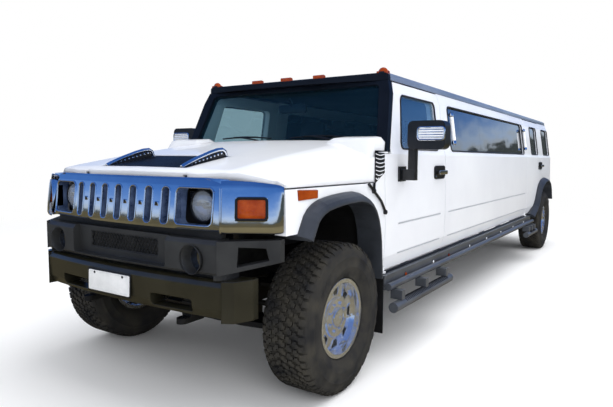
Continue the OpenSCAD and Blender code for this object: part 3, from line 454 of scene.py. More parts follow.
def finishPiece(name, bm, finish, body, smooth=35, replaced=()):
    mesh = bpy.data.meshes.new(name)
    bmesh.ops.transform(bm, matrix=toFrame, verts=bm.verts)
    bm.to_mesh(mesh)
    bm.free()
    for item in finish:
        mesh.materials.append(mats[item])
    mesh.polygons.foreach_set("use_smooth", [True] * len(mesh.polygons))
    mesh.set_sharp_from_angle(angle=math.radians(smooth))
    obj = bpy.data.objects.new(name, mesh)
    bpy.context.scene.collection.objects.link(obj)
    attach(obj, body)
    if replaced:
        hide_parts(*replaced)
    return obj


# Tyres: carcass, five rows of blocks and shoulder lugs, every other lug shorter and narrower
tyre = {"radius": 436, "track": 881.5, "steps": 116, "rows": [0, -44, 44, -86, 86],
        "blocks": 58, "stagger": 0.21, "foot": 419, "chamfer": 2, "sideScale": 0.94, "topScale": 0.9,
        "crownFall": 0.00012, "lugs": 58, "lugHalf": (17, 15), "lugEdge": 1.5, "lugIn": 6, "lugDeep": 13,
        "block": [(-20, -17), (3, -20), (7, -6), (20, -3), (20, 17), (-3, 20), (-7, 6), (-20, 3)],
        "lug": [(105, 435.5), (121, 433), (132, 425), (142, 409)],
        "carcass": [(217, 86), (217, 100), (232, 106), (238, 124), (262, 141), (280, 150), (296, 154),
                    (299, 156), (304, 156), (307, 155.5), (330, 157), (352, 154.5), (355, 156), (360, 155.6),
                    (363, 153), (380, 148), (398, 144), (412, 136), (420, 126), (423, 108)]}
wheelPlaces = {}
for end, x in (("front", 0), ("rear", -wheelBase)):
    for side, hand in sides.items():
        wheelPlaces[end, side] = (Matrix.Translation((x, hand * tyre["track"], tyre["radius"]))
                                  @ Matrix.Rotation(-hand * math.pi / 2, 4, "X"))


def buildTyre():
    bm = bmesh.new()
    half = tyre["carcass"]
    addLathe(bm, half + [(r, -w) for r, w in reversed(half)], tyre["steps"])
    around = 2 * math.pi * tyre["radius"]

    def lay(s, w, r):  # from the run round the tread, the place across it and the radius
        t = s / tyre["radius"]
        return r * math.cos(t), r * math.sin(t), w

    for n, row in enumerate(tyre["rows"]):
        hand = -1 if n % 2 else 1
        size = tyre["sideScale"] if n else 1
        crown = tyre["radius"] - tyre["crownFall"] * row * row
        levels = ((1, tyre["foot"]), (1, crown - tyre["chamfer"]), (tyre["topScale"], crown))
        for i in range(tyre["blocks"]):
            s0 = around * (i + 0.5 * (n % 2) + tyre["stagger"] * n) / tyre["blocks"]
            addLoft(bm, [[lay(s0 + hand * s * size * k, row + w * size * k, r) for s, w in tyre["block"]]
                         for k, r in levels], (-1,))
    for hand in (-1, 1):
        for i in range(tyre["lugs"]):
            s0 = around * (i + 0.25 * hand) / tyre["lugs"]
            wide = tyre["lugHalf"][i % 2]
            outer = tyre["lug"][:len(tyre["lug"]) - i % 2]
            inner = [(w - tyre["lugIn"], r - tyre["lugDeep"]) for w, r in reversed(outer)]
            addLoft(bm, [[lay(s, hand * w, r) for w, r in outer + inner]
                         for s in (s0 - wide, s0 - wide + tyre["lugEdge"], s0 + wide)], (0, -1))
    bmesh.ops.recalc_face_normals(bm, faces=bm.faces[:])
    return bm


for (end, side), turn in wheelPlaces.items():
    bm = buildTyre()
    bmesh.ops.transform(bm, matrix=turn, verts=bm.verts)
    finishPiece(f"treaded_tyre_{end}_{side}", bm, ["tyreRubber"], f"wheel_{end}_{side}",
                replaced=[f"tyre_{end}_{side}"])
print("tyres made")

# Wheel dressing: window lips, domed cap with its boss, and valve
wheel = {"spokes": 8, "window": [(130, -20), (184, -41), (184, 41), (130, 20)], "lip": 4,
         "along": (0.08, 0.5, 0.92), "faceFrom": 118, "face": 71, "fall": 0.125,
         "cap": [(0, 104), (18, 103), (40, 100), (54, 95), (60, 86), (60, 80)],
         "boss": [(0, 107), (9, 106), (11, 103)], "valve": [(196, 0, 74), (194, 0, 92), (192, 0, 100)]}
for (end, side), turn in wheelPlaces.items():
    bm = bmesh.new()
    for i in range(wheel["spokes"]):
        t = 2 * math.pi * i / wheel["spokes"]
        loop = []
        for (r0, w0), (r1, w1) in zip(wheel["window"], wheel["window"][1:] + wheel["window"][:1]):
            for f in wheel["along"]:
                r, w = r0 + (r1 - r0) * f, w0 + (w1 - w0) * f
                loop.append((r * math.cos(t) - w * math.sin(t), r * math.sin(t) + w * math.cos(t),
                             wheel["face"] - wheel["fall"] * (r - wheel["faceFrom"])))
        addTube(bm, loop, wheel["lip"], 8, 0, True, turn)
    addLathe(bm, wheel["cap"], 40, 0, turn)
    addLathe(bm, wheel["boss"], 20, 0, turn)
    addTube(bm, wheel["valve"], 4, 8, 1, False, turn)
    finishPiece(f"wheel_dress_{end}_{side}", bm, ["rimChrome", "flapRubber"], f"wheel_{end}_{side}")
print("wheels dressed")

# Grille: lips and linings of the openings, studs between the slots, and a cap over each sloped corner.
# The face follows a bow and leans back
grille = {"face": 768, "bow": 8600, "lean": 24, "leanFrom": 1002, "leanOver": 210,
          "slots": 7, "pitch": 120, "slotHalf": 28, "slotLow": 1008, "slotHigh": 1202, "slotCorner": 24,
          "slotLip": 5, "slotDepths": (-3, -34, -66), "lampY": 545, "lampHalf": 116, "lampLow": 1012,
          "lampCorner": 30, "lampLip": 6, "lampDepths": (-3, -40, -78), "studZ": 1112,
          "stud": [(12, -4, 3, 1.5, 0), (9, 0, 4, 1, 1)],  # half width, back, front, bevel and finish
          "capRun": (598, 630, 660, 690, 714, 736), "capTop": (1253, 0.05), "capFoot": (1249.608, 0.304),
          "capZ": 1212, "capIn": -8, "capEdge": 4, "capThick": 9}


def faceX(y, z, out=0):
    share = (z - grille["leanFrom"]) / grille["leanOver"]
    return grille["face"] - y * y / grille["bow"] - grille["lean"] * min(max(share, 0), 1) + out


def lineOpening(bm, edge, lip, inner, depths):
    # A bright lip round an opening, and the lining that runs in from it
    addTube(bm, [(faceX(u, v, -1), u, v) for u, v in edge], lip, 8, 0, True)
    # The lining's blue finish is a painted sky reflection
    addLoft(bm, [[(faceX(u, v, depth), u, v) for u, v in inner] for depth in depths], (), 2, -1)


bm = bmesh.new()
for i in range(grille["slots"]):
    y = (i - (grille["slots"] - 1) / 2) * grille["pitch"]
    edge, inner = (roundRect(y - grille["slotHalf"] + inset, y + grille["slotHalf"] - inset,
                             grille["slotLow"] + inset, grille["slotHigh"] - inset,
                             grille["slotCorner"] - inset, 8) for inset in (0, 1))
    lineOpening(bm, edge, grille["slotLip"], inner, grille["slotDepths"])
for hand in (-1, 1):
    y = hand * grille["lampY"]
    edge = roundRect(y - grille["lampHalf"], y + grille["lampHalf"], grille["lampLow"], grille["slotHigh"],
                     grille["lampCorner"], 8)
    lineOpening(bm, edge, grille["lampLip"], edge, grille["lampDepths"])
for i in range(grille["slots"] - 1):
    y, z = (i - (grille["slots"] - 2) / 2) * grille["pitch"], grille["studZ"]
    x = faceX(y, z)
    for half, back, front, bevel, index in grille["stud"]:
        addBox(bm, (x + back, y - half, z - half), (x + front, y + half, z + half), bevel, index)
for hand in (-1, 1):
    rings = []
    for y in grille["capRun"]:
        run = y - grille["capRun"][0]
        top, foot = (z - fall * run for z, fall in (grille["capTop"], grille["capFoot"]))
        front = faceX(y, grille["capZ"], grille["capIn"])
        back = front - grille["capThick"]
        section = ((front, foot), (front - grille["capEdge"], top), (back, top), (back, foot))
        rings.append([(x, hand * y, z) for x, z in section])
    addLoft(bm, rings, (0, -1), 0, hand)
finishPiece("grille_lips", bm, ["chrome", "blackTrim", "sleevePaintedSky"], "shell")

# Headlamps: bezel, reflector bowl, bulb shield with its bar, and domed lens
lamp = {"x": 601, "z": 1107, "bar": [(-76, -2.5, 20), (76, 2.5, 40)],
        "bezel": [(88, 0), (88, 52), (86, 58), (80, 60), (77, 54), (77, 30)],
        "bowl": [(78, 50), (70, 30), (54, 14), (30, 6), (0, 4)],
        "shield": [(0, 46), (14, 44), (20, 38), (20, 8)],
        "lens": [(79, 52), (70, 60), (52, 67), (26, 71), (0, 72)]}
bm = bmesh.new()
for hand in (-1, 1):
    place = axisPlace((lamp["x"], hand * grille["lampY"], lamp["z"]), (1, 0, 0))
    for part, steps, index in (("bezel", 56, 0), ("bowl", 56, 1), ("shield", 32, 0), ("lens", 56, 2)):
        addLathe(bm, lamp[part], steps, index, place)
    addBox(bm, *lamp["bar"], 1, 0, place)
finishPiece("headlamp_units", bm, ["blackTrim", "reflector", "lampGlass"], "shell",
            replaced=["headlamps"])

# Wing faces: chrome that leans back over the flat wings, with a cap under the hood's edge and the lamp let in
wing = {"line": [(706, 716), (690, 745), (560, 926), (530, 944), (507, 949)],
        "columns": [0, 16, 33.1, 50, 70.3, 100, 148.3, 196, 226.3, 240, 255.9, 275, 290.9, 303, 314],
        "crown": [(0, 1240), (33, 1243), (148, 1238), (256, 1226), (291, 1219), (316, 1209)],
        "section": [(983, 2), (985, 10), (992, 18), (1004, 22), (1024, 21.5), (1048, 20), (1076, 17.5),
                    (1104, 14.5), (1132, 11.5), (1160, 8), (1184, 4.5), (1206, 1)],
        "cap": [(-3, 3), (-7, 0), (-14, 1), (-42, 6)], "capTail": 280, "tailShare": 0.7,
        "outward": (0.84, 0.54), "opening": (70.3, 226.3, 1048, 1160), "seam": 6, "seamOut": 2,
        "lampAt": (622.5, 838.5, 1104), "lampTurn": 35.7, "lampLean": -6.3, "lampRim": (-74, 74, -52, 52, 16),
        "rimOut": 14, "lens": (-70, 70, -48, 48, 14), "lensBack": -2, "lensThick": 12}


def wingPoint(u, out):
    run = 0
    for n, (a, b) in enumerate(zip(wing["line"], wing["line"][1:])):
        long = math.dist(a, b)
        if u <= run + long or n == len(wing["line"]) - 2:
            return [p + (q - p) * (u - run) / long + out * k for p, q, k in zip(a, b, wing["outward"])]
        run += long


bm = bmesh.new()
left, right, low, high = wing["opening"]
for hand in (-1, 1):
    rows = [[(*wingPoint(u, out), z) for u in wing["columns"]] for z, out in wing["section"]]
    seam = [(row[0][0] + wing["seamOut"], hand * row[0][1], row[0][2]) for row in rows]
    for out, drop in wing["cap"]:
        rows.append([(*wingPoint(u, out * (wing["tailShare"] if u > wing["capTail"] else 1)),
                      follow(wing["crown"], u) - drop) for u in wing["columns"]])
    verts = [[bm.verts.new((x, hand * y, z)) for x, y, z in row] for row in rows]
    for row, a, b in zip(rows, verts, verts[1:]):
        for c, u in enumerate(wing["columns"][:-1]):
            if not (left <= u < right and low <= row[c][2] < high):
                bm.faces.new([a[c], a[c + 1], b[c + 1], b[c]][::hand])
    addTube(bm, seam, wing["seam"], 8, 0)
    x, y, z = wing["lampAt"]
    lean = (Matrix.Translation((x, hand * y, z))
            @ Matrix.Rotation(hand * math.radians(wing["lampTurn"]), 4, "Z")
            @ Matrix.Rotation(math.radians(wing["lampLean"]), 4, "Y"))
    addTube(bm, [(wing["rimOut"], u, v) for u, v in roundRect(*wing["lampRim"], 6)], 7, 8, 1, True, lean)
    addPrism(bm, roundRect(*wing["lens"], 5), wing["lensThick"], 2, 2,
             lean @ axes((0, 1, 0), (0, 0, 1), (1, 0, 0), (wing["lensBack"], 0, 0)))
finishPiece("wing_faces", bm, ["chrome", "blackTrim", "amberLens"], "shell", 50)
print("front made")

# Bumper: mesh in the recess, fog lamps, and the fillers and rails behind the joints
bumper = {"face": 790, "bow": 11000, "meshX": 723, "meshY": 286, "meshLow": 831, "meshHigh": 922, "cell": 26,
          "slope": 0.62, "wire": 2.8, "wireApart": 1.5, "rim": 4, "fogY": 562, "fogZ": 848, "fogToe": 0.1,
          "fogRing": [(75, -2), (76, 2), (73, 3), (69, -3), (66, -30), (62, -52)],
          "fogLens": [(64, -52), (50, -47), (24, -43), (0, -42)],
          "filler": [(596, 690), (736, 690), (712, 722), (690, 735), (596, 735)], "fillerLow": 750,
          "fillerHigh": 30,
          "rails": [((640, -700, 742), (684, 700, 790)), ((640, -690, 940), (676, 690, 992))]}
bm = bmesh.new()
tall = bumper["meshHigh"] - bumper["meshLow"]
for hand in (-1, 1):
    for i in range(-4, int(2 * bumper["meshY"] / bumper["cell"]) + 4):
        middle = -bumper["meshY"] + i * bumper["cell"]
        foot, head = (middle + hand * tall * bumper["slope"] * f for f in (-0.5, 0.5))
        run = []
        for f in (k / 12 for k in range(13)):
            y = foot + (head - foot) * f
            if abs(y) <= bumper["meshY"]:
                run.append((bumper["meshX"] + hand * bumper["wireApart"], y, bumper["meshLow"] + tall * f))
        if len(run) > 1:
            addTube(bm, [run[0], run[-1]], bumper["wire"], 6, 2)
rim = roundRect(-bumper["meshY"], bumper["meshY"], bumper["meshLow"], bumper["meshHigh"], 9, 4)
addTube(bm, [(bumper["meshX"], u, v) for u, v in rim], bumper["rim"], 8, 0, True)
for hand in (-1, 1):
    x = bumper["face"] - bumper["fogY"] ** 2 / bumper["bow"]
    place = axisPlace((x, hand * bumper["fogY"], bumper["fogZ"]), (1, -hand * bumper["fogToe"], 0))
    addLathe(bm, bumper["fogRing"], 48, 0, place)
    # The near-black lens at the back of each fog hole is partly painted shade, for the dark inside of the
    # hole
    addLathe(bm, bumper["fogLens"], 40, 1, place)
for hand in (-1, 1):
    addPrism(bm, [(x, y * hand) for x, y in bumper["filler"]][::hand], bumper["fillerHigh"], 2, 0,
             Matrix.Translation((0, 0, bumper["fillerLow"])))
for low, high in bumper["rails"]:
    addBox(bm, low, high, 6, 0)
finishPiece("bumper_fittings", bm, ["bumperPlastic", "darkGlass", "castMetal"], "shell")

# Number plate: a blank sheet with a pressed bead, on a black backing with two bolts
plate = {"x": 780, "y": -60, "z": 651, "facing": (1, 0.012, 0.03), "backing": (186, 67), "sheet": (176, 57),
         "bead": (168, 50), "beadAt": 6, "boltAt": (120, 46), "bolt": [(7, 5), (7, 9), (4, 11), (0, 11)]}
bm = bmesh.new()
place = axisPlace((plate["x"] - plate["y"] ** 2 / bumper["bow"], plate["y"], plate["z"]), plate["facing"])
for part, corner, thick, bevel, index in (("backing", 10, 4, 1, 1), ("sheet", 8, 6, 0.8, 0)):
    u, v = plate[part]
    addPrism(bm, roundRect(-u, u, -v, v, corner, 4), thick, bevel, index, place)
u, v = plate["bead"]
addTube(bm, [(*point, plate["beadAt"]) for point in roundRect(-u, u, -v, v, 8, 4)], 2, 6, 0, True, place)
u, v = plate["boltAt"]
for hand in (-1, 1):
    addLathe(bm, plate["bolt"], 14, 1, place @ Matrix.Translation((hand * u, v, 0)))
finishPiece("number_plate", bm, ["plateEnamel", "blackTrim"], "shell")

# Hood vent: ribbed panel between two chromed rails with pierced side plates
vent = {"x": 405, "z": 1324.5, "tilt": 9.6, "half": 194, "backY": 344, "frontY": 367, "low": -9.5,
        "thick": 11, "ribs": 13, "ribMargin": 16, "ribY": 292, "rib": (-7, 5), "ribHigh": 5,
        "railY": 322, "railRadius": 12,
        "rail": [(184, 5), (150, 14), (60, 32), (-40, 47), (-110, 53), (-150, 50), (-170, 36), (-178, 4)],
        "wedge": [(176, 0), (60, 27), (-40, 41), (-110, 46), (-150, 44), (-168, 0)], "wedgeHalf": 4,
        "holes": 9, "holeFrom": 110, "holePitch": 31, "holeLow": 9, "holeRise": 0.085, "holeOut": 5.1,
        "hole": [(0, 0), (5, 0), (6.5, -1)]}
bm = bmesh.new()
place = Matrix.Translation((vent["x"], 0, vent["z"])) @ Matrix.Rotation(math.radians(vent["tilt"]), 4, "Y")
half = vent["half"]
panel = [(-half, -vent["backY"]), (half, -vent["frontY"]), (half, vent["frontY"]), (-half, vent["backY"])]
addPrism(bm, panel, vent["thick"], 1.5, 0, place @ Matrix.Translation((0, 0, vent["low"])))
for i in range(vent["ribs"]):
    u = (half - vent["ribMargin"]) * (2 * i / (vent["ribs"] - 1) - 1)
    back, front = (u + edge for edge in vent["rib"])
    addBox(bm, (back, -vent["ribY"], 0), (front, vent["ribY"], vent["ribHigh"]), 2, 0, place)
for hand in (-1, 1):
    y = hand * vent["railY"]
    addTube(bm, [(u, y, v) for u, v in vent["rail"]], vent["railRadius"], 12, 1, False, place)
    upright = axes((1, 0, 0), (0, 0, 1), (0, -1, 0), (0, y + vent["wedgeHalf"], 0))
    addPrism(bm, vent["wedge"], 2 * vent["wedgeHalf"], 1, 0, place @ upright)
    for i in range(vent["holes"]):
        run = i * vent["holePitch"]
        for out in (-1, 1):
            at = (vent["holeFrom"] - run, y + out * vent["holeOut"], vent["holeLow"] + run * vent["holeRise"])
            addLathe(bm, vent["hole"], 12, 1,
                     place @ Matrix.Translation(at) @ Matrix.Rotation(-out * math.pi / 2, 4, "X"))
finishPiece("hood_vent_dress", bm, ["blackTrim", "chrome"], "hood", replaced=["hood_vent"])
print("bumper and vent made")

# Body side: half widths by height, as the skin leans inwards above the belt
skin = [(350, 930), (558, 930), (690, 958), (900, 962), (1398, 950), (1424, 938), (1812, 882), (1905, 868)]


def skinY(z):
    return follow(skin, z)


def bodyName(body, side):
    return body if body == "shell" else f"{body}_{side}"


# Window seals: black rubber round each pane, with the pane's ends at its foot and at its top
seal = {"low": 1424, "high": 1812, "corner": 45, "bead": 7, "out": 1}
panes = {"front": {"body": "front_door", "foot": (-1680, -916), "top": (-1680, -1003)},
         "long": {"body": "shell", "foot": (-4985, -1995), "top": (-4985, -1995)},
         "rear": {"body": "rear_door", "foot": (-5925, -5460), "top": (-5925, -5460)},
         "quarter": {"body": "shell", "foot": (-6857, -6345), "top": (-6857, -6345)}}
for name, pane in panes.items():
    for side, hand in sides.items():
        bm = bmesh.new()
        loop = []  # drawn on a pane 1000 long, then carried to the real ends
        for u, z in roundRect(0, 1000, seal["low"], seal["high"], seal["corner"], 6):
            f = (z - seal["low"]) / (seal["high"] - seal["low"])
            back, front = (a + (b - a) * f for a, b in zip(pane["foot"], pane["top"]))
            loop.append((back + u if u < 500 else front - (1000 - u), hand * (skinY(z) + seal["out"]), z))
        addTube(bm, loop, seal["bead"], 8, 0, True)
        finishPiece(f"seal_{name}_{side}", bm, ["blackTrim"], bodyName(pane["body"], side))

# Opera lamps at the ends of the long window: frosted tubes with chromed caps on short feet
opera = {"places": [-2040, -4990], "low": 1486, "high": 1752, "radius": 17, "out": 22, "tubeFrom": 26,
         "cap": [(-17, -12), (-9, -10), (2, 0), (3, 22), (1, 30), (0, 30)],  # past the radius, and along
         "footHalf": 9, "footHigh": 20, "footDeep": 24}
bm = bmesh.new()
for hand in (-1, 1):
    for x in opera["places"]:
        y0, y1 = (skinY(opera[key]) + opera["out"] for key in ("low", "high"))
        bottom, top = Vector((x, hand * y0, opera["low"])), Vector((x, hand * y1, opera["high"]))
        place = axisPlace(bottom, top - bottom, (1, 0, 0))
        tall = (top - bottom).length
        r = opera["radius"]
        addLathe(bm, [(r, opera["tubeFrom"]), (r, tall - opera["tubeFrom"])], 24, 0, place)
        for flip, at, y, z in ((1, 0, y0, opera["low"]), (-1, tall, y1, opera["high"] - opera["footHigh"])):
            addLathe(bm, [(r + more, at + flip * run) for more, run in opera["cap"]], 24, 1, place)
            low, high = sorted((hand * (y - opera["footDeep"]), hand * y))
            addBox(bm, (x - opera["footHalf"], low, z),
                   (x + opera["footHalf"], high, z + opera["footHigh"]), 3, 1)
finishPiece("opera_lamps", bm, ["frostedLens", "chrome"], "shell")

# Roof lamps: amber domes on the two outer lamp bases
roofLamp = {"y": 795, "front": -828, "bow": 9000, "base": 1966, "stretch": (0.95, 1.3, 1, 1), "radius": 27,
            "high": 30, "rim": [(5, -8), (5, 2), (1, 4)], "arc": (0.2, 0.5, 0.8, 1.1, 1.35), "domeFrom": 4}
bm = bmesh.new()
r, h, z = roofLamp["radius"], roofLamp["high"], roofLamp["domeFrom"]
dome = [(r, z - 1)] + [(r * math.cos(t), z + h * math.sin(t)) for t in roofLamp["arc"]] + [(0, z + h)]
for hand in (-1, 1):
    y = hand * roofLamp["y"]
    place = (Matrix.Translation((roofLamp["front"] - y * y / roofLamp["bow"], y, roofLamp["base"]))
             @ Matrix.Diagonal(roofLamp["stretch"]))
    addLathe(bm, [(r + more, rise) for more, rise in roofLamp["rim"]], 28, 1, place)
    addLathe(bm, dome, 28, 0, place)
finishPiece("roof_lamp_domes", bm, ["amberLens", "blackTrim"], "shell")

# Courtesy lamps along the rocker strip, the first and third amber
courtesy = {"z": 520, "y": 976.5, "places": [-960, -1520, -1900, -2500, -3100, -3700, -4300, -4900],
            "amber": (0, 2), "rim": [(20, -2), (20, 2), (17, 4), (15, 3)],
            "lens": [(15, 2), (10.5, 7), (0, 9)]}
bm = bmesh.new()
for hand in (-1, 1):
    for n, x in enumerate(courtesy["places"]):
        place = axisPlace((x, hand * courtesy["y"], courtesy["z"]), (0, hand, 0))
        addLathe(bm, courtesy["rim"], 24, 2, place)
        addLathe(bm, courtesy["lens"], 24, 1 if n in courtesy["amber"] else 0, place)
finishPiece("courtesy_lamps", bm, ["frostedLens", "amberLens", "blackTrim"], "shell")

# Roof rails: a satin strip over each roof edge, with a bead along its foot
rail = {"back": -6840, "front": -905, "beadAt": (850.5, 1909), "bead": 3,
        "section": [(851.5, 1908), (847.8, 1948), (814, 1967.4), (814, 1963), (846, 1944), (849, 1908)]}
bm = bmesh.new()
for hand in (-1, 1):
    addPrism(bm, rail["section"], rail["front"] - rail["back"], 0.8, 0,
             axes((0, hand, 0), (0, 0, 1), (1, 0, 0), (rail["back"], 0, 0)))
    y, z = rail["beadAt"]
    addTube(bm, [(rail[end], hand * y, z) for end in ("back", "front")], rail["bead"], 8, 0)
finishPiece("roof_rails", bm, ["railCoatSkyTint"], "shell")

# Rocker seals: a lipped rubber strip between the rocker box and the sill
rocker = {"back": -5300, "front": -640, "y": 938, "half": 4, "low": 568, "high": 586, "lip": 5, "lipZ": 583}
bm = bmesh.new()
for hand in (-1, 1):
    y = hand * rocker["y"]
    addBox(bm, (rocker["back"], y - rocker["half"], rocker["low"]),
           (rocker["front"], y + rocker["half"], rocker["high"]), 1.5, 0)
    addTube(bm, [(rocker[end], y, rocker["lipZ"]) for end in ("back", "front")], rocker["lip"], 8, 0)
finishPiece("rocker_seals", bm, ["blackTrim"], "shell")

# Pressed lines along the sides: a pale grey strip in each groove, painted shade for the shade that gathers
# there
grooves = {"heights": (690, 900), "radius": 2.4,
           "runs": {"front_door": (-1700, -850), "shell": (-5040, -1910)}}
for side, hand in sides.items():
    for body, ends in grooves["runs"].items():
        bm = bmesh.new()
        for z in grooves["heights"]:
            addTube(bm, [(x, hand * skinY(z), z) for x in ends], grooves["radius"], 8, 0)
        finishPiece(f"groove_{body}_{side}", bm, ["paintedGrooveShade"], bodyName(body, side))

# Step pads: ribs of rubber over the step bars
steps = {"bars": [(-1695, -575), (-5317, -4717)], "y": 1057, "z": 372, "radius": 35, "margin": 120,
         "pitch": 26, "arc": [30 + 12 * k for k in range(11)], "rib": 3.5}
bm = bmesh.new()
for hand in (-1, 1):
    for back, front in steps["bars"]:
        for i in range(int((front - back - 2 * steps["margin"]) / steps["pitch"])):
            x = back + steps["margin"] + steps["pitch"] * i
            y, z, r = hand * steps["y"], steps["z"], steps["radius"]
            rib = [(x, y + r * math.cos(t), z + r * math.sin(t)) for t in map(math.radians, steps["arc"])]
            addTube(bm, rib, steps["rib"], 6, 0)
finishPiece("step_pads", bm, ["flapRubber"], "shell")
print("sides made")

# Mirror dressing: a lamp with bright bars on the front of each mirror, and the glass on its back
mirror = {"frontX": -835, "glassX": -939, "lampRim": (1092, 1278, 1482, 1566, 18),
          "lamp": (1096, 1274, 1486, 1562, 15), "bars": 4, "barY": (1100, 1270), "barZ": 1496, "barHigh": 7,
          "barPitch": 17, "glass": (1034, 1266, 1434, 1596, 28)}
# Handle dressing: a rim round the cup, the bright grip and the lock
handle = {"places": {"front": (-1660, 1245), "rear": (-6045, 1262)}, "skinDrop": 53,
          "rim": (-113, 113, -51, 51, 24), "rimOut": 7, "grip": (-94, 94, -17, 17, 14), "gripOut": 38,
          "lockAt": (92, -34, 0), "lock": [(9, 6), (9, 10), (6, 12), (0, 12)]}
for side, hand in sides.items():
    bm = bmesh.new()
    front, back = (axes((0, hand, 0), (0, 0, 1), (1, 0, 0), (mirror[key], 0, 0))
                   for key in ("frontX", "glassX"))
    addTube(bm, [(u, v, 1) for u, v in roundRect(*mirror["lampRim"], 5)], 7, 8, 0, True, front)
    addPrism(bm, roundRect(*mirror["lamp"], 5), 3, 1, 1, front)
    for i in range(mirror["bars"]):
        z = mirror["barZ"] + i * mirror["barPitch"]
        addBox(bm, (mirror["barY"][0], z, 1), (mirror["barY"][1], z + mirror["barHigh"], 5), 1.5, 0, front)
    addPrism(bm, roundRect(*mirror["glass"], 5), 2, 0.5, 2, back)
    finishPiece(f"mirror_dress_{side}", bm, ["chrome", "frostedLens", "reflector"], f"front_door_{side}")
    for door, (x, z) in handle["places"].items():
        bm = bmesh.new()
        y = skinY(z - handle["skinDrop"]) + 1
        turn = axes((1, 0, 0), (0, 0, 1), (0, hand, 0), (x, hand * y, z))
        addTube(bm, [(u, v, handle["rimOut"]) for u, v in roundRect(*handle["rim"], 6)], 4, 8, 1, True, turn)
        addPrism(bm, roundRect(*handle["grip"], 5), 4, 1.5, 0,
                 turn @ Matrix.Translation((0, 0, handle["gripOut"])))
        addLathe(bm, handle["lock"], 18, 0, turn @ Matrix.Translation(handle["lockAt"]))
        finishPiece(f"handle_dress_{door}_{side}", bm, ["chrome", "blackTrim"], f"{door}_door_{side}")

# Wipers: spindles, bent arms and blades with their bridges, in the plane of the windscreen
screen = {"x": -662, "z": 1398, "tilt": 21.5}
wiper = {"pivots": ((-60, -560), (620, 120)), "pivotV": 60,
         "spindle": [(16, -14), (16, 8), (10, 16), (0, 17)],
         "arm": [(0, 60, 10), (-130, 92, 16), (-300, 122, 10)], "bladeLong": 500,
         "bladeV": 116, "bladeBow": 12, "bladeOut": -6, "bridgeUp": 10}
t = math.radians(screen["tilt"])
screenPlace = axes((0, 1, 0), (-math.sin(t), 0, math.cos(t)), (math.cos(t), 0, math.sin(t)),
                   (screen["x"], 0, screen["z"]))
bm = bmesh.new()
for pivot, tip in wiper["pivots"]:
    addLathe(bm, wiper["spindle"], 20, 0, screenPlace @ Matrix.Translation((pivot, wiper["pivotV"], 0)))
    addTube(bm, [(pivot + u, v, out) for u, v, out in wiper["arm"]], 7, 8, 0, False, screenPlace)
    blade = [(tip + f * wiper["bladeLong"], wiper["bladeV"] + wiper["bladeBow"] * math.sin(math.pi * f),
              wiper["bladeOut"]) for f in (0, 0.25, 0.5, 0.75, 1)]
    addTube(bm, blade, 6, 8, 0, False, screenPlace)
    addTube(bm, [(u, v, out + wiper["bridgeUp"]) for u, v, out in blade[1:4]], 4, 6, 0, False, screenPlace)
finishPiece("wipers", bm, ["blackTrim"], "shell")

# Cabin mirror on its bent stalk
cabinMirror = {"at": (-925, 0, 1742), "case": (-130, 130, -36, 36, 26), "thick": 22,
               "stalk": [(-905, 0, 1765), (-880, 0, 1800), (-868, 0, 1815)], "stalkRadius": 9}
bm = bmesh.new()
addPrism(bm, roundRect(*cabinMirror["case"], 5), cabinMirror["thick"], 5, 0,
         axes((0, 1, 0), (0, 0, 1), (1, 0, 0), cabinMirror["at"]))
addTube(bm, cabinMirror["stalk"], cabinMirror["stalkRadius"], 8, 0)
finishPiece("cabin_mirror", bm, ["blackTrim"], "shell")
print("glass fittings made")

# Hood latches: a strap with a spur on the body, held by two buttons
latch = {"strap": [(-452, 1200), (-447, 1147), (-500, 1112), (-551, 1076), (-585, 1036), (-615, 999)],
         "spur": [(-375, 1194), (-410, 1172), (-447, 1147)], "radius": 9, "out": 9,
         "button": [(16, -4), (16, 14), (10, 18), (0, 18)], "buttonOut": 2}
for side, hand in sides.items():
    bm = bmesh.new()
    for part in ("strap", "spur"):
        addTube(bm, [(x, hand * (skinY(z) + latch["out"]), z) for x, z in latch[part]], latch["radius"], 8, 0)
    for x, z in (latch["strap"][1], latch["strap"][-1]):
        addLathe(bm, latch["button"], 18, 0,
                 axisPlace((x, hand * (skinY(z) + latch["buttonOut"]), z), (0, hand, 0)))
    finishPiece(f"hood_latch_{side}", bm, ["blackTrim"], "shell")

# Louvres ahead of the doors: black panel with bowed white slats, heights counted from its middle
louvre = {"z": 1300, "out": 0.8, "lean": (12, 498), "thick": 2.5,
          "panel": [(-618, -38), (-476, -104), (-476, 92), (-618, 92)], "slats": 7, "low": -72, "pitch": 26,
          "slatX": (-612, -482), "cutBelow": -30, "cut": 2.1, "bow": 9, "slatOut": 4, "slatRadius": 3.2}
for side, hand in sides.items():
    bm = bmesh.new()
    place = (Matrix.Translation((0, hand * (skinY(louvre["z"]) + louvre["out"]), louvre["z"]))
             @ Matrix.Rotation(hand * math.atan2(*louvre["lean"]), 4, "X")
             @ axes((1, 0, 0), (0, 0, 1), (0, hand, 0)))
    addPrism(bm, louvre["panel"], louvre["thick"], 0.8, 0, place)
    for i in range(louvre["slats"]):
        v = louvre["low"] + louvre["pitch"] * i
        back = louvre["slatX"][0] + max(louvre["cutBelow"] - v, 0) * louvre["cut"]
        slat = [(back + (louvre["slatX"][1] - back) * f, v - louvre["bow"] * math.sin(math.pi * f),
                 louvre["slatOut"]) for f in (0, 0.2, 0.4, 0.6, 0.8, 1)]
        addTube(bm, slat, louvre["slatRadius"], 8, 1, False, place)
    finishPiece(f"louvre_{side}", bm, ["blackTrim", "whitePaint"], "shell")

# Rear: bright bezels round the tail lamps
bezel = {"x": -6960, "y": 772, "half": 45, "low": 1000, "high": 1180, "corner": 20, "radius": 6}
bm = bmesh.new()
for hand in (-1, 1):
    y = hand * bezel["y"]
    loop = roundRect(y - bezel["half"], y + bezel["half"], bezel["low"], bezel["high"], bezel["corner"], 5)
    addTube(bm, [(bezel["x"], u, v) for u, v in loop], bezel["radius"], 8, 0, True)
finishPiece("tail_lamp_bezels", bm, ["chrome"], "shell")

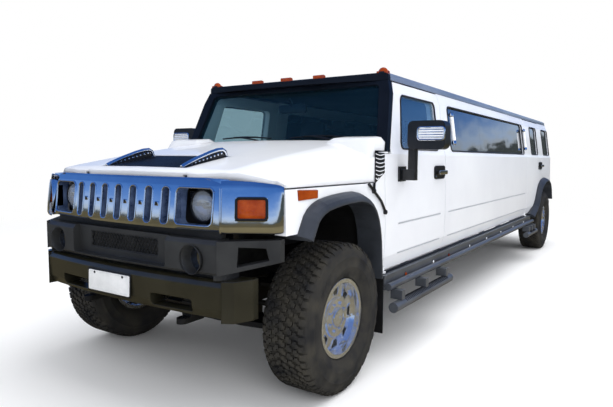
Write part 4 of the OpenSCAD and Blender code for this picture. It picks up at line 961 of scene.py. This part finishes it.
# Tailgate: a chromed pull on a black backing, square to the leaning face
gate = {"face": -6948, "atZ": 1000, "lean": 61 / 820, "pullZ": 1010, "backing": (-170, 170, -40, 40, 16),
        "thick": 12, "pull": [(-120, 0, 8), (-112, 0, 26), (112, 0, 26), (120, 0, 8)], "pullRadius": 8}
bm = bmesh.new()
place = axisPlace((gate["face"] + (gate["pullZ"] - gate["atZ"]) * gate["lean"], 0, gate["pullZ"]),
                  (-1, 0, gate["lean"]))
addPrism(bm, roundRect(*gate["backing"], 5), gate["thick"], 2, 0, place)
addTube(bm, gate["pull"], gate["pullRadius"], 10, 1, False, place)
finishPiece("tailgate_fittings", bm, ["blackTrim", "chrome"], "tailgate")
print("rear made")

# Seats: padded leather with pleats and rolled edges. A cushion goes by low and high corner, number of pleats
# and the axis that they run along
seats = {"base": 611.5, "high": 330, "frontX": (-1715, -1195), "frontY": 420, "frontHalf": 258,
         "frontIn": 40, "rearX": (-5407, -4847), "rearIn": 60, "sideX": (-4837, -2365), "wall": 778,
         "sideFront": -302, "sideBack": -662, "sideTop": 718, "firm": 0.7,
         "frontBack": [(-640, -248, 0), (0, 248, 130)], "headRest": [(-850, -130, 20), (-660, 130, 110)],
         "frontPivot": (-30, 250), "frontLean": 14,
         "rearBack": [(-600, -718, 0), (0, 718, 138)], "rearPivot": (-60, 200), "rearLean": 12,
         "frontPleats": 5, "rearPleats": 14, "sidePleats": 22}
cushion = {"cuts": 11, "roll": 70, "pinch": 0.28, "puff": 26, "pleat": 0.55, "edge": 0.2, "soft": 0.6}


def addCushion(bm, low, high, pleats, across, place=None):
    part = bmesh.new()
    bmesh.ops.create_cube(part, size=2)
    bmesh.ops.subdivide_edges(part, edges=part.edges[:], cuts=cushion["cuts"], use_grid_fill=True)
    size = [(b - a) / 2 for a, b in zip(low, high)]
    middle = [(a + b) / 2 for a, b in zip(low, high)]
    pinch = [cushion["pinch"] * min(1, cushion["roll"] / s) for s in size]
    for v in part.verts:
        p = v.co.copy()
        for k in range(3):
            others = sum(abs(p[j]) ** 6 for j in range(3) if j != k)
            v.co[k] = middle[k] + size[k] * p[k] * (1 - pinch[k] * others / 2)
        if p.z > 0.98:
            wave = abs(math.sin(math.pi * pleats * (p[across] + 1) / 2))
            soft = (1 - abs(p.x) ** 4 * cushion["soft"]) * (1 - abs(p.y) ** 4 * cushion["soft"])
            sink = (wave - 1) * cushion["pleat"] - cushion["edge"] * abs(p[across])
            v.co.z += sink * cushion["puff"] * soft
    merge(bm, part, place, 0)


def backPlace(x, y, z, lean):
    # A seat back's own frame: its cushion lies flat there, with its top towards -X
    return (Matrix.Translation((x, y, z)) @ Matrix.Rotation(math.radians(-lean), 4, "Y")
            @ axes((0, 0, -1), (0, 1, 0), (1, 0, 0)))


def finishSeat(name, bm, replaced=()):
    obj = finishPiece(name, bm, ["seatLeather"], "shell", 60, replaced)
    foam = obj.modifiers.new("foam", "SUBSURF")
    foam.levels = 1
    foam.render_levels = 1


low = seats["base"]
top = low + seats["high"]
back, front = seats["frontX"]
for n, hand in enumerate((1, -1)):
    bm = bmesh.new()
    y = hand * seats["frontY"]
    addCushion(bm, (back + seats["frontIn"], y - seats["frontHalf"], low),
               (front, y + seats["frontHalf"], top), seats["frontPleats"], 1)
    x, z = seats["frontPivot"]
    place = backPlace(back + x, y, low + z, seats["frontLean"])
    addCushion(bm, *seats["frontBack"], seats["frontPleats"], 1, place)
    addCushion(bm, *seats["headRest"], 1, 1, place)
    finishSeat(f"front_seat_{n}", bm, ["seats"] if n == 0 else ())
bm = bmesh.new()
back, front = seats["rearX"]
addCushion(bm, (back + seats["rearIn"], -seats["wall"], low), (front, seats["wall"], top),
           seats["rearPleats"], 1)
x, z = seats["rearPivot"]
addCushion(bm, *seats["rearBack"], seats["rearPleats"], 1, backPlace(back + x, 0, low + z, seats["rearLean"]))
finishSeat("rear_bench", bm)
bm = bmesh.new()
back, front = seats["sideX"]
addCushion(bm, (back, -seats["wall"], low), (front, seats["sideFront"], top), seats["sidePleats"], 0)
addCushion(bm, (back, -seats["wall"], top), (front, seats["sideBack"], low + seats["sideTop"]),
           seats["sidePleats"], 0)
finishSeat("side_bench", bm)
print("seats made")

# Floor: pale to the eye and white far out, grass-brown to what reflects it
floor = {"half": 60, "pale": "fbfbfc", "ground": "6a6148", "fade": (5.5, 9.0)}
mesh = bpy.data.meshes.new("floor")
bm = bmesh.new()
bmesh.ops.create_grid(bm, x_segments=2, y_segments=2, size=floor["half"])
bm.to_mesh(mesh)
bm.free()
floorMat = bpy.data.materials.new("paleFloor")
floorMat.use_nodes = True
tree = floorMat.node_tree
shader = tree.nodes["Principled BSDF"]
shader.inputs["Roughness"].default_value = 1
shader.inputs["Specular IOR Level"].default_value = 0
rays = addNode(tree, "ShaderNodeLightPath").outputs
tone = addNode(tree, "ShaderNodeMixRGB", None, rays["Is Glossy Ray"], floor["pale"], floor["ground"])
tree.links.new(tone.outputs["Color"], shader.inputs["Base Color"])
spot = addNode(tree, "ShaderNodeNewGeometry").outputs["Position"]
away = addNode(tree, "ShaderNodeVectorMath", {"operation": "LENGTH"}, spot).outputs["Value"]
far = addNode(tree, "ShaderNodeMapRange", None, away, *floor["fade"]).outputs["Result"]
seen = addNode(tree, "ShaderNodeMath", {"operation": "MULTIPLY"}, far, rays["Is Camera Ray"]).outputs["Value"]
glow = addNode(tree, "ShaderNodeEmission", Color="ffffff", Strength=1.0).outputs["Emission"]
blend = addNode(tree, "ShaderNodeMixShader", None, seen, shader.outputs["BSDF"], glow).outputs["Shader"]
tree.links.new(blend, tree.nodes["Material Output"].inputs["Surface"])
mesh.materials.append(floorMat)
floorObj = bpy.data.objects.new("studio_floor", mesh)
bpy.context.scene.collection.objects.link(floorObj)

# Sky: white to the eye, even light on the surfaces, and in reflections a blue gradient over a ragged line of
# trees, which rises towards one side
sky = {"even": "f1f3f6", "strength": 0.88, "shine": 1.0, "treesAt": (-0.83, 0.55, 0),
       "treeSpan": (0.35, 0.95), "treeLine": 0.092, "crownScale": 70, "crownDetail": 4,
       "crownSpan": (0.35, 0.65), "ragged": 0.009, "steep": (1.0, 2.1),
       "bands": [(0.0, "4b5150"), (0.012, "b9c4cf"), (0.05, "b4cbea"), (0.13, "6b95d4"), (0.24, "4777bf"),
                 (0.6, "335da3")]}
world = bpy.data.worlds.new("studio")
bpy.context.scene.world = world
world.use_nodes = True
tree = world.node_tree
tree.nodes.remove(tree.nodes["Background"])
place = addNode(tree, "ShaderNodeTexCoord").outputs["Generated"]
height = addNode(tree, "ShaderNodeSeparateXYZ", None, place).outputs["Z"]
toTrees = addNode(tree, "ShaderNodeVectorMath", {"operation": "DOT_PRODUCT"}, place,
                  sky["treesAt"]).outputs["Value"]
near = addNode(tree, "ShaderNodeMapRange", None, toTrees, *sky["treeSpan"], 0,
               sky["treeLine"]).outputs["Result"]
crowns = addNode(tree, "ShaderNodeTexNoise", Vector=place, Scale=sky["crownScale"],
                 Detail=sky["crownDetail"]).outputs["Fac"]
ragged = addNode(tree, "ShaderNodeMapRange", None, crowns, *sky["crownSpan"], -sky["ragged"],
                 sky["ragged"]).outputs["Result"]
skyline = addNode(tree, "ShaderNodeMath", {"operation": "ADD"}, near, ragged).outputs["Value"]
above = addNode(tree, "ShaderNodeMath", {"operation": "SUBTRACT"}, height, skyline).outputs["Value"]
steep = addNode(tree, "ShaderNodeMapRange", None, near, 0, sky["treeLine"], *sky["steep"]).outputs["Result"]
clear = addNode(tree, "ShaderNodeMath", {"operation": "MULTIPLY"}, above, steep).outputs["Value"]
gradient = addNode(tree, "ShaderNodeValToRGB", {"stops": sky["bands"]}, clear).outputs["Color"]
shine, even, plain = (addNode(tree, "ShaderNodeBackground", None, color, strength).outputs["Background"]
                      for color, strength in ((gradient, sky["shine"]), (sky["even"], sky["strength"]),
                                              ("ffffff", 1.0)))
rays = addNode(tree, "ShaderNodeLightPath").outputs
inner = addNode(tree, "ShaderNodeMixShader", None, rays["Is Glossy Ray"], even, shine).outputs["Shader"]
outer = addNode(tree, "ShaderNodeMixShader", None, rays["Is Camera Ray"], inner, plain).outputs["Shader"]
tree.links.new(outer, tree.nodes["World Output"].inputs["Surface"])

# Lights: a wide soft key overhead, a low wash along the left side and a fill at the front left
lights = {"key": {"at": (0, 2.5, 9.0), "aim": (0, 0, 0.6), "size": 10, "power": 690},
          "side": {"at": (-1.5, 9.0, 1.6), "aim": (-1.0, 0, 0.6), "size": 6, "power": 75},
          "fill": {"at": (7.5, 5.0, 4.0), "aim": (2, 0, 0.8), "size": 5, "power": 140}}
for name, spec in lights.items():
    data = bpy.data.lights.new(name, "AREA")
    data.shape = "DISK"
    data.size = spec["size"]
    data.energy = spec["power"]
    obj = bpy.data.objects.new(name, data)
    obj.location = spec["at"]
    obj.visible_glossy = False
    obj.rotation_mode = "QUATERNION"
    obj.rotation_quaternion = (Vector(spec["aim"]) - Vector(spec["at"])).to_track_quat("-Z", "Y")
    bpy.context.scene.collection.objects.link(obj)

# Camera, placed where the photograph was taken
camera = {"at": (2626.04, 2483.43, 1356.21), "yaw": 213.51, "pitch": -4.91, "roll": 0.48, "lens": 31.39}
yaw, pitch, roll = (math.radians(camera[k]) for k in ("yaw", "pitch", "roll"))
forward = Vector((math.cos(yaw) * math.cos(pitch), math.sin(yaw) * math.cos(pitch), math.sin(pitch)))
right = forward.cross(Vector((0, 0, 1))).normalized()
up = right.cross(forward)
data = bpy.data.cameras.new("photo")
data.sensor_width = 36
data.lens = camera["lens"]
data.clip_end = 200
cam = bpy.data.objects.new("photo", data)
cam.matrix_world = axes(right * math.cos(roll) + up * math.sin(roll),
                        up * math.cos(roll) - right * math.sin(roll), -forward,
                        toFrame @ Vector(camera["at"]))
bpy.context.scene.collection.objects.link(cam)
bpy.context.scene.camera = cam
bpy.context.scene.view_settings.view_transform = "Standard"

print("scene done")
